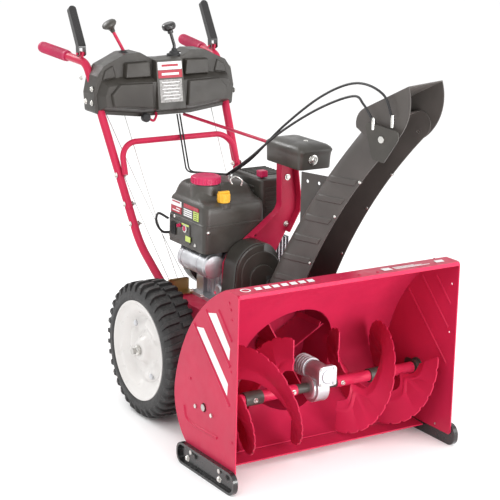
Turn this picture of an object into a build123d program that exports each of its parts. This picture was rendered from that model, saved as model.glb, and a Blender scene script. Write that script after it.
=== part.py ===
from build123d import *
import os
from math import acos, atan2, cos, degrees, pi, radians, sin, sqrt, tan

# Two stage snowblower.  Millimetres, +Z up.  The origin is on the ground under the middle of the axle.
# The auger housing faces -Y, the operator stands at +Y, and the operator's left hand is at +X.

# ---------------------------------------------------------------- driving dimensions
SHEET = 2.5                 # steel sheet of the housing, the drum and the frame
RUNNING = 0.05              # radial clearance of a shaft in its bearing

CLEARING_WIDTH = 710        # between the side plates
HALF_WIDTH = CLEARING_WIDTH / 2
AUGER_Y, AUGER_Z = -472, 190
AUGER_R = 150
AUGER_SHAFT_R = 9.5
HOUSING_R = 158             # lower rear arc of the housing, around the auger
HOUSING_TOP_Z = 540
HOUSING_FRONT_Y = -634
HOUSING_BACK_Y = -573       # rear edge of the flat top

IMPELLER_Z = 235
DRUM_R = 152
DRUM_BACK_Y = -190
IMPELLER_SHAFT_R = 9.5

CHUTE_X, CHUTE_Y = 60, -260
CHUTE_YAW = 18              # the chute stands turned towards +X by this angle at rest
CHUTE_HALF = 75             # half of the chute's width
RING_Z = 400

TYRE_R = 202
AXLE_Z = TYRE_R
AXLE_R = 9.5
WHEEL_OUT_X = 307
WHEEL_IN_X = 192

FRAME_HALF = 160
FRAME_TOP_Z = 335
FRAME_BOTTOM_Z = 110
FRAME_BACK_Y = 82

CRANK_Z = 446
PTO_Y = -115                # the engine's drive face

HANDLE_R = 12.5
BRACE_R = 9
MIDDLE_Y = 23.648           # halfway between the deflector's lip and the ends of the grips, from the axle

os.makedirs("parts", exist_ok=True)


def save(part, name):
    """Labels a finished piece, moves it so that the origin is under the middle of the machine, and writes it."""
    moved = Pos(0, -MIDDLE_Y, 0) * part
    moved.label = name
    export_step(moved, f"parts/{name}.step")


def bent_path(points, radius):
    """Straight runs through the points with round bends between them, in three dimensions."""
    corners = [Vector(*p) for p in points]
    start = corners[0]
    for before, corner, after in zip(corners, corners[1:], corners[2:]):
        back = (before - corner).normalized()
        ahead = (after - corner).normalized()
        half_angle = acos(back.dot(ahead)) / 2
        bisector = (back + ahead).normalized()
        first = corner + back * (radius / tan(half_angle))
        last = corner + ahead * (radius / tan(half_angle))
        middle = corner + bisector * (radius / sin(half_angle) - radius)
        Line(start, first)
        ThreePointArc(first, middle, last)
        start = last
    Line(start, corners[-1])


def start_plane(points):
    """The plane across the start of a path."""
    first, second = Vector(*points[0]), Vector(*points[1])
    return Plane(origin=first, z_dir=(second - first).normalized())


# ================================================================ auger housing
BEND_ANGLE = 12             # where the lower arc ends and the upper, wider arc begins
BEND_Y = AUGER_Y + HOUSING_R * cos(radians(BEND_ANGLE))
BEND_Z = AUGER_Z + HOUSING_R * sin(radians(BEND_ANGLE))
PLATE_BOTTOM_Z = AUGER_Z - HOUSING_R


def housing_profile():
    """Side view of the housing: the sketch's x is the row's y, and its y is the row's z."""
    with BuildSketch() as profile:
        with BuildLine():
            CenterArc((AUGER_Y, AUGER_Z), HOUSING_R, -90, 90 + BEND_ANGLE)
            TangentArc((BEND_Y, BEND_Z), (HOUSING_BACK_Y, HOUSING_TOP_Z),
                       tangent=(-sin(radians(BEND_ANGLE)), cos(radians(BEND_ANGLE))))
            Polyline((HOUSING_BACK_Y, HOUSING_TOP_Z), (HOUSING_FRONT_Y, HOUSING_TOP_Z),
                     (HOUSING_FRONT_Y, PLATE_BOTTOM_Z), (AUGER_Y, PLATE_BOTTOM_Z))
        make_face()
    return profile.sketch


LIP = 11                    # height of the folded front edge of the top sheet
SCRAPER_Y = -455            # where the wrap ends underneath

MOUTH_TOP_Z = HOUSING_TOP_Z - LIP
FAR = 60                    # how far a cutting shape runs past what it cuts

with BuildPart() as housing_wrap:
    with BuildSketch(Plane.YZ):
        add(housing_profile())
        offset(amount=-SHEET, kind=Kind.INTERSECTION, mode=Mode.SUBTRACT)
        with BuildLine():
            Polyline((HOUSING_BACK_Y, MOUTH_TOP_Z), (HOUSING_FRONT_Y - FAR, MOUTH_TOP_Z),
                     (HOUSING_FRONT_Y - FAR, PLATE_BOTTOM_Z - FAR), (SCRAPER_Y, PLATE_BOTTOM_Z - FAR),
                     (SCRAPER_Y, PLATE_BOTTOM_Z + FAR / 2), (HOUSING_BACK_Y, MOUTH_TOP_Z), close=True)
        make_face(mode=Mode.SUBTRACT)
    extrude(amount=HALF_WIDTH, both=True)
    with BuildSketch(Plane.XZ.offset(-BEND_Y - FAR / 2)):
        with Locations((0, IMPELLER_Z)):
            Circle(DRUM_R)
    extrude(amount=3 * FAR, mode=Mode.SUBTRACT)
save(housing_wrap.part, "housing_wrap")


PLATE_T = 3
BEARING_BOLTS = ((-431, 181), (-513, 181))
BEARING_R = 20
BOLT_R = 3.5
SKID_BOLTS = ((-419, 45), (-566, 45))
DRIFT_HOLES = ((-606, 470), (-606, 330))   # for drift cutter bars, near the front edge


def side_plate_profile():
    """Outline of a side plate with its shaft hole and its bolt holes."""
    with BuildSketch() as profile:
        add(housing_profile())
        fillet(profile.vertices().group_by(Axis.Y)[0].sort_by(Axis.X)[0], 12)
        fillet(profile.vertices().group_by(Axis.Y)[-1].sort_by(Axis.X)[0], 12)
        with Locations((AUGER_Y, AUGER_Z)):
            Circle(AUGER_SHAFT_R + PLATE_T, mode=Mode.SUBTRACT)
        with Locations(*DRIFT_HOLES, *SKID_BOLTS, *BEARING_BOLTS):
            Circle(BOLT_R, mode=Mode.SUBTRACT)
    return profile.sketch


with BuildPart() as side_plate_left:
    with BuildSketch(Plane.YZ.offset(HALF_WIDTH)):
        add(side_plate_profile())
    extrude(amount=PLATE_T)
with BuildPart() as side_plate_right:
    with BuildSketch(Plane.YZ.offset(-HALF_WIDTH)):
        add(side_plate_profile())
    extrude(amount=-PLATE_T)
save(side_plate_left.part, "side_plate_left")
save(side_plate_right.part, "side_plate_right")

# The shave plate is a flat bar under the rear edge of the wrap.
SHAVE_T = 4
with BuildPart() as shave_plate:
    with BuildSketch(Plane.YZ):
        with Locations((SCRAPER_Y - 18, PLATE_BOTTOM_Z - SHAVE_T / 2 - 2)):
            Rectangle(80, SHAVE_T, rotation=4)
    extrude(amount=HALF_WIDTH - 1, both=True)
save(shave_plate.part, "shave_plate")

# Each skid shoe is a pressed plate with a raised border and a turned-in sole.
SKID_Y0, SKID_Y1 = -650, -352
SKID_H = 62
SKID_T = 4
SKID_SOLE = 26              # width of the sole, under the side plate
SKID_OUT_X = HALF_WIDTH + PLATE_T


def skid_outline(inset):
    with BuildSketch() as outline:
        with Locations(((SKID_Y0 + SKID_Y1) / 2, SKID_H / 2)):
            RectangleRounded(SKID_Y1 - SKID_Y0 - 2 * inset, SKID_H - 2 * inset, 28 - inset)
    return outline.sketch


with BuildPart() as skid_shoe_left:
    with BuildSketch(Plane.YZ.offset(SKID_OUT_X)):
        add(skid_outline(0))
    extrude(amount=14)
    with BuildSketch(Plane.YZ.offset(SKID_OUT_X + SKID_T)):
        add(skid_outline(7))
    extrude(amount=20, mode=Mode.SUBTRACT)
    with BuildSketch(Plane.YZ.offset(SKID_OUT_X)):
        with Locations(*SKID_BOLTS):
            Circle(BOLT_R)
    extrude(amount=SKID_T, mode=Mode.SUBTRACT)
skid_shoe_right = mirror(skid_shoe_left.part, about=Plane.YZ, mode=Mode.PRIVATE)
save(Compound([skid_shoe_left.part.solid(), skid_shoe_right.solid()]), "skid_shoes")


def cross_bolt(x_head, side, grip, head_r, shank_r, nut):
    """A hexagon bolt along X, with its head outside at x_head and, if asked, a nut at the end of its grip."""
    with BuildPart() as bolt:
        with BuildSketch(Plane.YZ.offset(x_head)):
            RegularPolygon(head_r, 6)
        extrude(amount=side * head_r * 0.7)
        with BuildSketch(Plane.YZ.offset(x_head)):
            Circle(shank_r)
        extrude(amount=-side * grip)
        if nut:
            with BuildSketch(Plane.YZ.offset(x_head - side * grip)):
                RegularPolygon(head_r, 6)
            extrude(amount=-side * head_r * 0.6)
    return bolt.part


def bolts_along_x(places, head_r, shank_r, nut=True):
    """Bolts at (x of the head's seat, side, grip, y, z)."""
    with BuildPart() as group:
        for x_head, side, grip, y, z in places:
            add(Pos(0, y, z) * cross_bolt(x_head, side, grip, head_r, shank_r, nut))
    return group.part


SIDES = (-1, 1)
skid_bolts = bolts_along_x([(side * (SKID_OUT_X + SKID_T), side, PLATE_T + SKID_T, y, z)
                            for side in SIDES for y, z in SKID_BOLTS], 7, BOLT_R, nut=False)

# Flanged bearings of the auger shaft, bolted inside the side plates.
FLANGE_T = 4
with BuildPart() as auger_bearings:
    for side in SIDES:
        with BuildSketch(Plane.YZ.offset(side * HALF_WIDTH)):
            with Locations((AUGER_Y, AUGER_Z)):
                SlotCenterToCenter(BEARING_BOLTS[0][0] - BEARING_BOLTS[1][0], 2 * 14)
                Circle(BEARING_R + 6)
            with Locations(*BEARING_BOLTS):
                Circle(BOLT_R, mode=Mode.SUBTRACT)
        extrude(amount=-side * FLANGE_T)
        with BuildSketch(Plane.YZ.offset(side * (HALF_WIDTH - FLANGE_T))):
            with Locations((AUGER_Y, AUGER_Z)):
                Circle(BEARING_R)
        extrude(amount=-side * 12)
    with Locations(Location((0, AUGER_Y, AUGER_Z), (0, 90, 0))):
        Cylinder(AUGER_SHAFT_R + RUNNING, CLEARING_WIDTH + 20, mode=Mode.SUBTRACT)
save(auger_bearings.part, "auger_bearings")
bearing_bolts = bolts_along_x([(side * SKID_OUT_X, side, PLATE_T + FLANGE_T, y, z)
                               for side in SIDES for y, z in BEARING_BOLTS], 6, BOLT_R)

# ================================================================ impeller drum with its outlet
OUTLET_LEFT_X = -22
OUTLET_TOP_Z = 382
DRUM_FRONT_Y = -350
FLANGE_Z = RING_Z - 6                   # underside of the ring's flange
FLANGE_BACK_Y = -178                    # the flange is trimmed in front of the belts
OUTLET_R = CHUTE_HALF - 4
OUTLET_X = (OUTLET_LEFT_X + DRUM_R) / 2
OUTLET_Y = (DRUM_BACK_Y + DRUM_FRONT_Y) / 2
OUTLET_H = OUTLET_TOP_Z - IMPELLER_Z
with BuildPart() as impeller_drum:
    with BuildSketch(Plane.XZ.offset(-DRUM_BACK_Y - SHEET)):
        with Locations((0, IMPELLER_Z)):
            Circle(DRUM_R + SHEET)
    extrude(amount=260)
    with Locations((OUTLET_X, OUTLET_Y, IMPELLER_Z)):
        Box(DRUM_R - OUTLET_LEFT_X + 2 * SHEET, DRUM_BACK_Y - DRUM_FRONT_Y + 2 * SHEET, OUTLET_H + SHEET,
            align=(Align.CENTER, Align.CENTER, Align.MIN))
    with Locations((CHUTE_X, CHUTE_Y, OUTLET_TOP_Z)):
        Cylinder(OUTLET_R + SHEET, RING_Z - OUTLET_TOP_Z, align=(Align.CENTER, Align.CENTER, Align.MIN))
    with Locations((CHUTE_X, CHUTE_Y, FLANGE_Z)):
        Cylinder(CHUTE_HALF + 12, 3, align=(Align.CENTER, Align.CENTER, Align.MIN))
    with Locations((CHUTE_X, FLANGE_BACK_Y, FLANGE_Z)):
        Box(200, 40, 20, align=(Align.CENTER, Align.MIN, Align.CENTER), mode=Mode.SUBTRACT)
    with BuildSketch(Plane.XZ.offset(-DRUM_BACK_Y)):
        with Locations((0, IMPELLER_Z)):
            Circle(DRUM_R)
    extrude(amount=260, mode=Mode.SUBTRACT)
    with Locations((OUTLET_X, OUTLET_Y, IMPELLER_Z)):
        Box(DRUM_R - OUTLET_LEFT_X, DRUM_BACK_Y - DRUM_FRONT_Y, OUTLET_H,
            align=(Align.CENTER, Align.CENTER, Align.MIN), mode=Mode.SUBTRACT)
    with Locations((CHUTE_X, CHUTE_Y, IMPELLER_Z)):
        Cylinder(OUTLET_R, RING_Z, align=(Align.CENTER, Align.CENTER, Align.MIN), mode=Mode.SUBTRACT)
    with BuildSketch(Plane.YZ.offset(-HALF_WIDTH)):
        add(housing_profile())
    extrude(amount=CLEARING_WIDTH, mode=Mode.SUBTRACT)
    with Locations(Location((0, DRUM_BACK_Y, IMPELLER_Z), (90, 0, 0))):
        Cylinder(16, 30, mode=Mode.SUBTRACT)
save(impeller_drum.part, "impeller_drum")

with BuildPart() as impeller_bearing:
    with BuildSketch(Plane.XZ.offset(-DRUM_BACK_Y - SHEET)):
        with Locations((0, IMPELLER_Z)):
            Circle(26)
    extrude(amount=-FLANGE_T)
    with BuildSketch(Plane.XZ.offset(-DRUM_BACK_Y - SHEET)):
        with Locations((0, IMPELLER_Z)):
            Circle(16)
    extrude(amount=SHEET + FLANGE_T)
    with Locations(Location((0, DRUM_BACK_Y, IMPELLER_Z), (90, 0, 0))):
        Cylinder(IMPELLER_SHAFT_R + RUNNING, 60, mode=Mode.SUBTRACT)

# ================================================================ auger gearbox
WORM_PITCH_R = 13
WHEEL_TEETH = 16
WHEEL_PITCH_R = IMPELLER_Z - AUGER_Z - WORM_PITCH_R
WORM_LEAD = 2 * pi * WHEEL_PITCH_R / WHEEL_TEETH
TOOTH_H = 3
CASE_BACK_Y, CASE_FRONT_Y = -398, -526
CASE_HALF = 20

with BuildPart() as gearbox_case:
    with BuildSketch(Plane.XZ.offset(-CASE_BACK_Y)):
        with Locations((0, IMPELLER_Z)):
            Circle(27)
    extrude(amount=CASE_BACK_Y - CASE_FRONT_Y)
    with BuildSketch(Plane.XZ.offset(-CASE_FRONT_Y)):
        with Locations((0, IMPELLER_Z)):
            RectangleRounded(58, 58, 12)
    extrude(amount=-8)
    with BuildSketch(Plane.YZ.offset(-CASE_HALF)):
        with Locations((AUGER_Y, AUGER_Z)):
            Circle(WHEEL_PITCH_R + 11)
    extrude(amount=2 * CASE_HALF)
    with BuildSketch(Plane.YZ.offset(-CASE_HALF - 7)):
        with Locations((AUGER_Y, AUGER_Z)):
            Circle(17)
    extrude(amount=2 * (CASE_HALF + 7))
    fillet(gearbox_case.edges().filter_by(GeomType.CIRCLE).group_by(SortBy.RADIUS)[-1], 3)
    with Locations(Location((0, AUGER_Y, AUGER_Z), (0, 90, 0))):
        Cylinder(WHEEL_PITCH_R + 6, 2 * CASE_HALF - 12, mode=Mode.SUBTRACT)
        Cylinder(AUGER_SHAFT_R + RUNNING, 4 * CASE_HALF, mode=Mode.SUBTRACT)
    with BuildSketch(Plane.XZ.offset(-CASE_FRONT_Y)):
        with Locations((0, IMPELLER_Z)):
            Circle(WORM_PITCH_R + TOOTH_H + 3)
    extrude(amount=-(CASE_BACK_Y - CASE_FRONT_Y - 12), mode=Mode.SUBTRACT)
    with Locations(Location((0, CASE_BACK_Y, IMPELLER_Z), (90, 0, 0))):
        Cylinder(IMPELLER_SHAFT_R + RUNNING, 60, mode=Mode.SUBTRACT)
save(gearbox_case.part, "gearbox_case")

with BuildPart() as gearbox_cap:
    with BuildSketch(Plane.XZ.offset(-CASE_FRONT_Y)):
        with Locations((0, IMPELLER_Z)):
            RectangleRounded(58, 58, 12)
    extrude(amount=5)
    with BuildSketch(Plane.XZ.offset(-CASE_FRONT_Y + 5)):
        with Locations((0, IMPELLER_Z)):
            Circle(20)
    extrude(amount=4)
    fillet(gearbox_cap.edges().group_by(Axis.Y)[0], 2)
save(gearbox_cap.part, "gearbox_cap")

with BuildPart() as gearbox_screws:
    with BuildSketch(Plane.XZ.offset(-CASE_FRONT_Y + 5)):
        with Locations((0, IMPELLER_Z)):
            with GridLocations(42, 42, 2, 2):
                RegularPolygon(5, 6)
    extrude(amount=4)
save(Compound([*skid_bolts.solids(), *bearing_bolts.solids(), *gearbox_screws.part.solids()]), "housing_bolts")

# ================================================================ auger
with BuildPart() as worm_wheel:
    with BuildSketch(Plane.YZ.offset(-4)):
        with Locations((AUGER_Y, AUGER_Z)):
            Circle(WHEEL_PITCH_R - TOOTH_H)
            with PolarLocations(WHEEL_PITCH_R - 1, WHEEL_TEETH, start_angle=90):
                Rectangle(2 * TOOTH_H + 2, 3.2)
            Circle(AUGER_SHAFT_R, mode=Mode.SUBTRACT)
    extrude(amount=8)
save(worm_wheel.part, "worm_wheel")

with BuildPart() as auger_shaft:
    with Locations(Location((0, AUGER_Y, AUGER_Z), (0, 90, 0))):
        Cylinder(AUGER_SHAFT_R, CLEARING_WIDTH + 2 * PLATE_T + 8)
save(auger_shaft.part, "auger_shaft")

RIBBON_INNER_R, RIBBON_T = 54, 5
AUGER_TUBE_R = 16
AUGER_IN_X, AUGER_OUT_X = 66, 335
RIBBON_PITCH = 300


def ribbon_flight(length, side):
    """One ribbon of the auger, wound around Z."""
    with BuildPart() as ribbon:
        with BuildLine() as flight:
            Helix(RIBBON_PITCH, length, (RIBBON_INNER_R + AUGER_R) / 2, lefthand=side > 0)
        with BuildSketch(Plane(origin=flight.line @ 0, z_dir=flight.line % 0, x_dir=(1, 0, 0))):
            Rectangle(AUGER_R - RIBBON_INNER_R, RIBBON_T)
        sweep(path=flight.line, is_frenet=True)
    return ribbon.part


def auger_rake(side):
    """Half of the auger: a tube on the shaft, two ribbon flights half a turn apart, and their spokes."""
    length = AUGER_OUT_X - AUGER_IN_X
    wound = length - 4 * RIBBON_T
    with BuildPart() as rake:
        Cylinder(AUGER_TUBE_R, length, align=(Align.CENTER, Align.CENTER, Align.MIN))
        for phase in (0, 180):
            with Locations(Location((0, 0, 2 * RIBBON_T), (0, 0, phase))):
                add(ribbon_flight(wound, side))
            for share in (0.18, 0.82):
                turn = phase - side * 360 * share * wound / RIBBON_PITCH
                with Locations(Location((0, 0, 2 * RIBBON_T + share * wound), (0, 0, turn))):
                    Box(RIBBON_INNER_R + 8, 26, 5, align=(Align.MIN, Align.CENTER, Align.CENTER))
        Cylinder(AUGER_SHAFT_R, length, align=(Align.CENTER, Align.CENTER, Align.MIN), mode=Mode.SUBTRACT)
    return rake.part


left_rake = Location((AUGER_IN_X, AUGER_Y, AUGER_Z), (0, 90, 0)) * auger_rake(1)
right_rake = Location((-AUGER_IN_X, AUGER_Y, AUGER_Z), (0, -90, 0)) * auger_rake(-1)
save(Compound([left_rake.solid(), right_rake.solid()]), "auger_rakes")

with BuildPart() as auger_spacers:
    for side in SIDES:
        for near, far in ((CASE_HALF + 8, AUGER_IN_X - 1), (AUGER_OUT_X, HALF_WIDTH - 17)):
            with Locations(Location((side * (near + far) / 2, AUGER_Y, AUGER_Z), (0, 90, 0))):
                Cylinder(14, far - near)
                Cylinder(AUGER_SHAFT_R, far - near, mode=Mode.SUBTRACT)

SLEEVE_X0, SLEEVE_X1 = 180, 236
with BuildPart() as auger_sleeves:
    for side in SIDES:
        with Locations(Location((side * (SLEEVE_X0 + SLEEVE_X1) / 2, AUGER_Y, AUGER_Z), (0, 90, 0))):
            Cylinder(AUGER_TUBE_R + 4, SLEEVE_X1 - SLEEVE_X0)
            Cylinder(AUGER_TUBE_R, SLEEVE_X1 - SLEEVE_X0, mode=Mode.SUBTRACT)
save(Compound([*auger_spacers.part.solids(), *auger_sleeves.part.solids()]), "auger_spacers")

# ================================================================ impeller
BLADE_FRONT_Y, BLADE_BACK_Y = -318, -200
with BuildPart() as impeller:
    with BuildSketch(Plane.XZ.offset(-BLADE_BACK_Y)):
        with Locations((0, IMPELLER_Z)):
            Circle(22)
            with PolarLocations(0, 4, start_angle=30):
                with Locations((DRUM_R / 2, 0)):
                    Rectangle(DRUM_R - 8, 4)
                with Locations((DRUM_R - 14, 6)):
                    Rectangle(16, 4, rotation=40)
            Circle(IMPELLER_SHAFT_R, mode=Mode.SUBTRACT)
    extrude(amount=BLADE_BACK_Y - BLADE_FRONT_Y)
save(impeller.part, "impeller")

SHAFT_END_Y = -148
WORM_Y0, WORM_Y1 = AUGER_Y - 30, AUGER_Y + 30
with BuildPart() as impeller_shaft:
    with BuildSketch(Plane.XZ.offset(-SHAFT_END_Y)):
        with Locations((0, IMPELLER_Z)):
            Circle(IMPELLER_SHAFT_R)
    extrude(amount=SHAFT_END_Y - CASE_FRONT_Y - 4)
    with BuildLine() as thread:
        Helix(WORM_LEAD, WORM_Y1 - WORM_Y0, WORM_PITCH_R - 1, center=(0, WORM_Y1, IMPELLER_Z),
              direction=(0, -1, 0))
    with BuildSketch(Plane(origin=thread.line @ 0, z_dir=thread.line % 0,
                           x_dir=thread.line @ 0 - Vector(0, WORM_Y1, IMPELLER_Z))):
        Trapezoid(5.3, 2 * TOOTH_H + 2, 80, rotation=-90)
    sweep(path=thread.line, is_frenet=True)
save(impeller_shaft.part, "impeller_shaft")


def pulley(centre, y_front, y_back, outer_r, groove, bore_r):
    """A V-belt pulley on an axis along Y."""
    depth = y_back - y_front
    with BuildPart() as wheel:
        with BuildSketch(Plane.XY):
            with BuildLine():
                Polyline((bore_r, 0), (outer_r, 0), (outer_r, depth * 0.12), (outer_r - groove, depth * 0.38),
                         (outer_r - groove, depth * 0.62), (outer_r, depth * 0.88), (outer_r, depth),
                         (bore_r, depth), close=True)
            make_face()
        revolve(axis=Axis.Y)
    return Pos(centre[0], y_front, centre[1]) * wheel.part


IMPELLER_PULLEY_R = 88
BELT_FRONT_Y, BELT_BACK_Y = -166, -150       # auger drive belt
DRIVE_FRONT_Y, DRIVE_BACK_Y = -144, -130     # wheel drive belt
GROOVE = 10
save(pulley((0, IMPELLER_Z), BELT_FRONT_Y, BELT_BACK_Y, IMPELLER_PULLEY_R, GROOVE, IMPELLER_SHAFT_R),
     "impeller_pulley")

# ================================================================ discharge chute
# The chute is drawn in its own upright plane: the sketch's x is the throw direction from the ring's axis.
CHUTE_SHEET = 3
THROW = Vector(sin(radians(CHUTE_YAW)), -cos(radians(CHUTE_YAW)), 0)
ACROSS = Vector(cos(radians(CHUTE_YAW)), sin(radians(CHUTE_YAW)), 0)
COLLAR_Z = FLANGE_Z + 3.5               # the chute's foot turns just above the ring's flange
COLLAR_TOP_Z = 424
COLLAR_R = OUTLET_R + SHEET + 0.7
BACK_ROUND = 40                         # the rounded corners of the chute's back
PIVOT_U, PIVOT_Z = 352, 902             # deflector pivot


def chute_plane(across):
    """Upright plane along the throw direction, at a distance across from the ring's axis."""
    return Plane(origin=Vector(CHUTE_X, CHUTE_Y, 0) + ACROSS * across, x_dir=THROW, z_dir=-ACROSS)


def chute_wall():
    """Side view of the chute's body."""
    with BuildSketch() as wall:
        with BuildLine():
            ThreePointArc((-62, COLLAR_Z + 4), (62, 640), (262, 918))
            Line((262, 918), (330, 952))
            ThreePointArc((330, 952), (388, 935), (378, 896))
            ThreePointArc((378, 896), (196, 655), (74, COLLAR_Z + 4))
            Line((74, COLLAR_Z + 4), (-62, COLLAR_Z + 4))
        make_face()
    return wall.sketch


def chute_block():
    """The chute's outer form, filled, with its rounded back."""
    with BuildPart() as block:
        with BuildSketch(chute_plane(-CHUTE_HALF)):
            add(chute_wall())
        extrude(amount=-2 * CHUTE_HALF)
        round_edges = block.edges().filter_by(GeomType.CIRCLE).sort_by(SortBy.LENGTH)[-4:]
        fillet(round_edges.sort_by(Axis.Y)[-2:], BACK_ROUND)
    return block.part


with BuildPart() as chute_hollow:
    with BuildSketch(chute_plane(-CHUTE_HALF + CHUTE_SHEET)):
        with BuildLine():
            ThreePointArc((-62 + CHUTE_SHEET, COLLAR_Z - 1), (62 + CHUTE_SHEET, 638), (262 + CHUTE_SHEET, 914))
            Polyline((262 + CHUTE_SHEET, 914), (480, 1020), (480, 640), (90, COLLAR_Z - 1),
                     (-62 + CHUTE_SHEET, COLLAR_Z - 1))
        make_face()
    extrude(amount=-2 * CHUTE_HALF + 2 * CHUTE_SHEET)
    fillet(chute_hollow.edges().filter_by(GeomType.CIRCLE), BACK_ROUND - CHUTE_SHEET)

with BuildPart() as chute:
    add(chute_block())
    with Locations((CHUTE_X, CHUTE_Y, COLLAR_Z)):
        Cylinder(CHUTE_HALF + 10, 4, align=(Align.CENTER, Align.CENTER, Align.MIN))
        Cylinder(COLLAR_R + CHUTE_SHEET, COLLAR_TOP_Z - COLLAR_Z, align=(Align.CENTER, Align.CENTER, Align.MIN))
    with BuildSketch(chute_plane(-CHUTE_SHEET / 2)):
        with BuildLine():
            Polyline((18, 752), (18, 590), (30, 560), (160, 752), close=True)
        make_face()
        with Locations((40, 728), (80, 728)):
            Circle(5, mode=Mode.SUBTRACT)
    extrude(amount=-CHUTE_SHEET)
    add(chute_hollow.part, mode=Mode.SUBTRACT)
    with Locations((CHUTE_X, CHUTE_Y, COLLAR_Z)):
        Cylinder(COLLAR_R, COLLAR_TOP_Z - COLLAR_Z, align=(Align.CENTER, Align.CENTER, Align.MIN),
                 mode=Mode.SUBTRACT)
    with BuildSketch(chute_plane(-2 * CHUTE_HALF)):
        with Locations((PIVOT_U, PIVOT_Z)):
            Circle(5)
    extrude(amount=-4 * CHUTE_HALF, mode=Mode.SUBTRACT)
save(chute.part, "chute")

# ---------------------------------------------------------------- deflector
DEFLECTOR_GAP = 1
DEFLECTOR_HALF = CHUTE_HALF + DEFLECTOR_GAP + CHUTE_SHEET
PIN_R = 5
MOUTH_REACH = 90


def deflector_wall():
    """Side view of the deflector."""
    with BuildSketch() as wall:
        with BuildLine():
            Line((318, 880), (256, 920))
            ThreePointArc((256, 920), (258, 950), (280, 974))
            Line((280, 974), (416, 1047))
            ThreePointArc((416, 1047), (424, 985), (368, 886))
            Line((368, 886), (318, 880))
        make_face()
    return wall.sketch


with BuildPart() as deflector:
    with BuildSketch(chute_plane(-DEFLECTOR_HALF)):
        add(deflector_wall())
    extrude(amount=-2 * DEFLECTOR_HALF)
    with BuildSketch(chute_plane(-DEFLECTOR_HALF + CHUTE_SHEET)):
        with BuildLine():
            Line((318, 820), (256 + CHUTE_SHEET, 860))
            Line((256 + CHUTE_SHEET, 860), (256 + CHUTE_SHEET, 919))
            ThreePointArc((256 + CHUTE_SHEET, 919), (258 + CHUTE_SHEET, 948), (282, 971))
            Polyline((282, 971), (416 + MOUTH_REACH, 1043.5 + MOUTH_REACH * 0.537), (416 + MOUTH_REACH, 820),
                     (318, 820))
        make_face()
    extrude(amount=-2 * (DEFLECTOR_HALF - CHUTE_SHEET), mode=Mode.SUBTRACT)
    with BuildSketch(chute_plane(-2 * DEFLECTOR_HALF)):
        with Locations((PIVOT_U, PIVOT_Z)):
            Circle(PIN_R + RUNNING)
    extrude(amount=-4 * DEFLECTOR_HALF, mode=Mode.SUBTRACT)
save(deflector.part, "deflector")

# The pivot pins are fixed in the chute's walls; each has a head outside the deflector.
COVER_STANDOFF = 14                     # the pulley cover stands this far outside the deflector's right wall
with BuildPart() as deflector_pins:
    for side, head_gap in ((-1, COVER_STANDOFF + CHUTE_SHEET), (1, 0.5)):
        inner = side * (CHUTE_HALF - CHUTE_SHEET)
        outer = side * (DEFLECTOR_HALF + head_gap)
        with BuildSketch(chute_plane(inner)):
            with Locations((PIVOT_U, PIVOT_Z)):
                Circle(PIN_R)
        extrude(amount=-(outer - inner))
        with BuildSketch(chute_plane(outer)):
            with Locations((PIVOT_U, PIVOT_Z)):
                Circle(9)
        extrude(amount=-side * 5)
save(deflector_pins.part, "deflector_pins")

# Cover over the cable pulley of the deflector, carried by the right pin and by a foot on the chute's wall.
COVER_POINTS = ((296, 936), (306, 942), (400, 930), (404, 908), (360, 840), (322, 846))
with BuildPart() as pulley_cover:
    with BuildSketch(chute_plane(-DEFLECTOR_HALF - COVER_STANDOFF)):
        with BuildLine():
            Polyline(*COVER_POINTS, close=True)
        make_face()
        with Locations((PIVOT_U, PIVOT_Z)):
            Circle(PIN_R, mode=Mode.SUBTRACT)
    extrude(amount=CHUTE_SHEET)
    fillet(pulley_cover.edges().filter_by(lambda e: abs(e.length - CHUTE_SHEET) < 0.01), 8)
save(pulley_cover.part, "pulley_cover")

# ================================================================ chute tower, control head and rod
TOWER_T = 3
TOWER_FLANGE = 26
TOWER_TOP_Z = 776
HEAD_BOTTOM_Z, HEAD_TOP_Z = 757, 820
HEAD_X0, HEAD_X1 = 48, 158
HEAD_Y0, HEAD_Y1 = -292, -110


def tower_face():
    """Front view of the tower: a foot across the engine's drive face, a slope and a column."""
    with BuildSketch() as face:
        with BuildLine():
            Polyline((-92, 400), (-90, 468), (-76, 492), (40, 576))
            Line((40, 576), (70, 598))
            ThreePointArc((70, 598), (84, 612), (90, 632))
            Polyline((90, 632), (86, TOWER_TOP_Z), (140, TOWER_TOP_Z), (160, 640), (158, 600), (84, 470), (84, 400),
                     (-92, 400))
        make_face()
    return face.sketch


with BuildPart() as chute_tower:
    with BuildSketch(Plane.XZ.offset(-PTO_Y)):
        add(tower_face())
    extrude(amount=TOWER_FLANGE)
    with BuildSketch(Plane.XZ.offset(-PTO_Y + TOWER_T)):
        add(tower_face())
        offset(amount=-TOWER_T, kind=Kind.INTERSECTION, mode=Mode.REPLACE)
    extrude(amount=TOWER_FLANGE, mode=Mode.SUBTRACT)
    with BuildSketch(Plane.XZ.offset(-PTO_Y + TOWER_T)):
        with Locations((0, 470)):
            Rectangle(2 * FRAME_HALF, 140)
    extrude(amount=TOWER_FLANGE, mode=Mode.SUBTRACT)
    with BuildSketch(Plane.XZ.offset(-PTO_Y)):
        with Locations((0, CRANK_Z)):
            Circle(38)
        with Locations((-62, 485), (18, 538)):
            Circle(4)
    extrude(amount=TOWER_FLANGE, mode=Mode.SUBTRACT)
save(chute_tower.part, "chute_tower")

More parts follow.
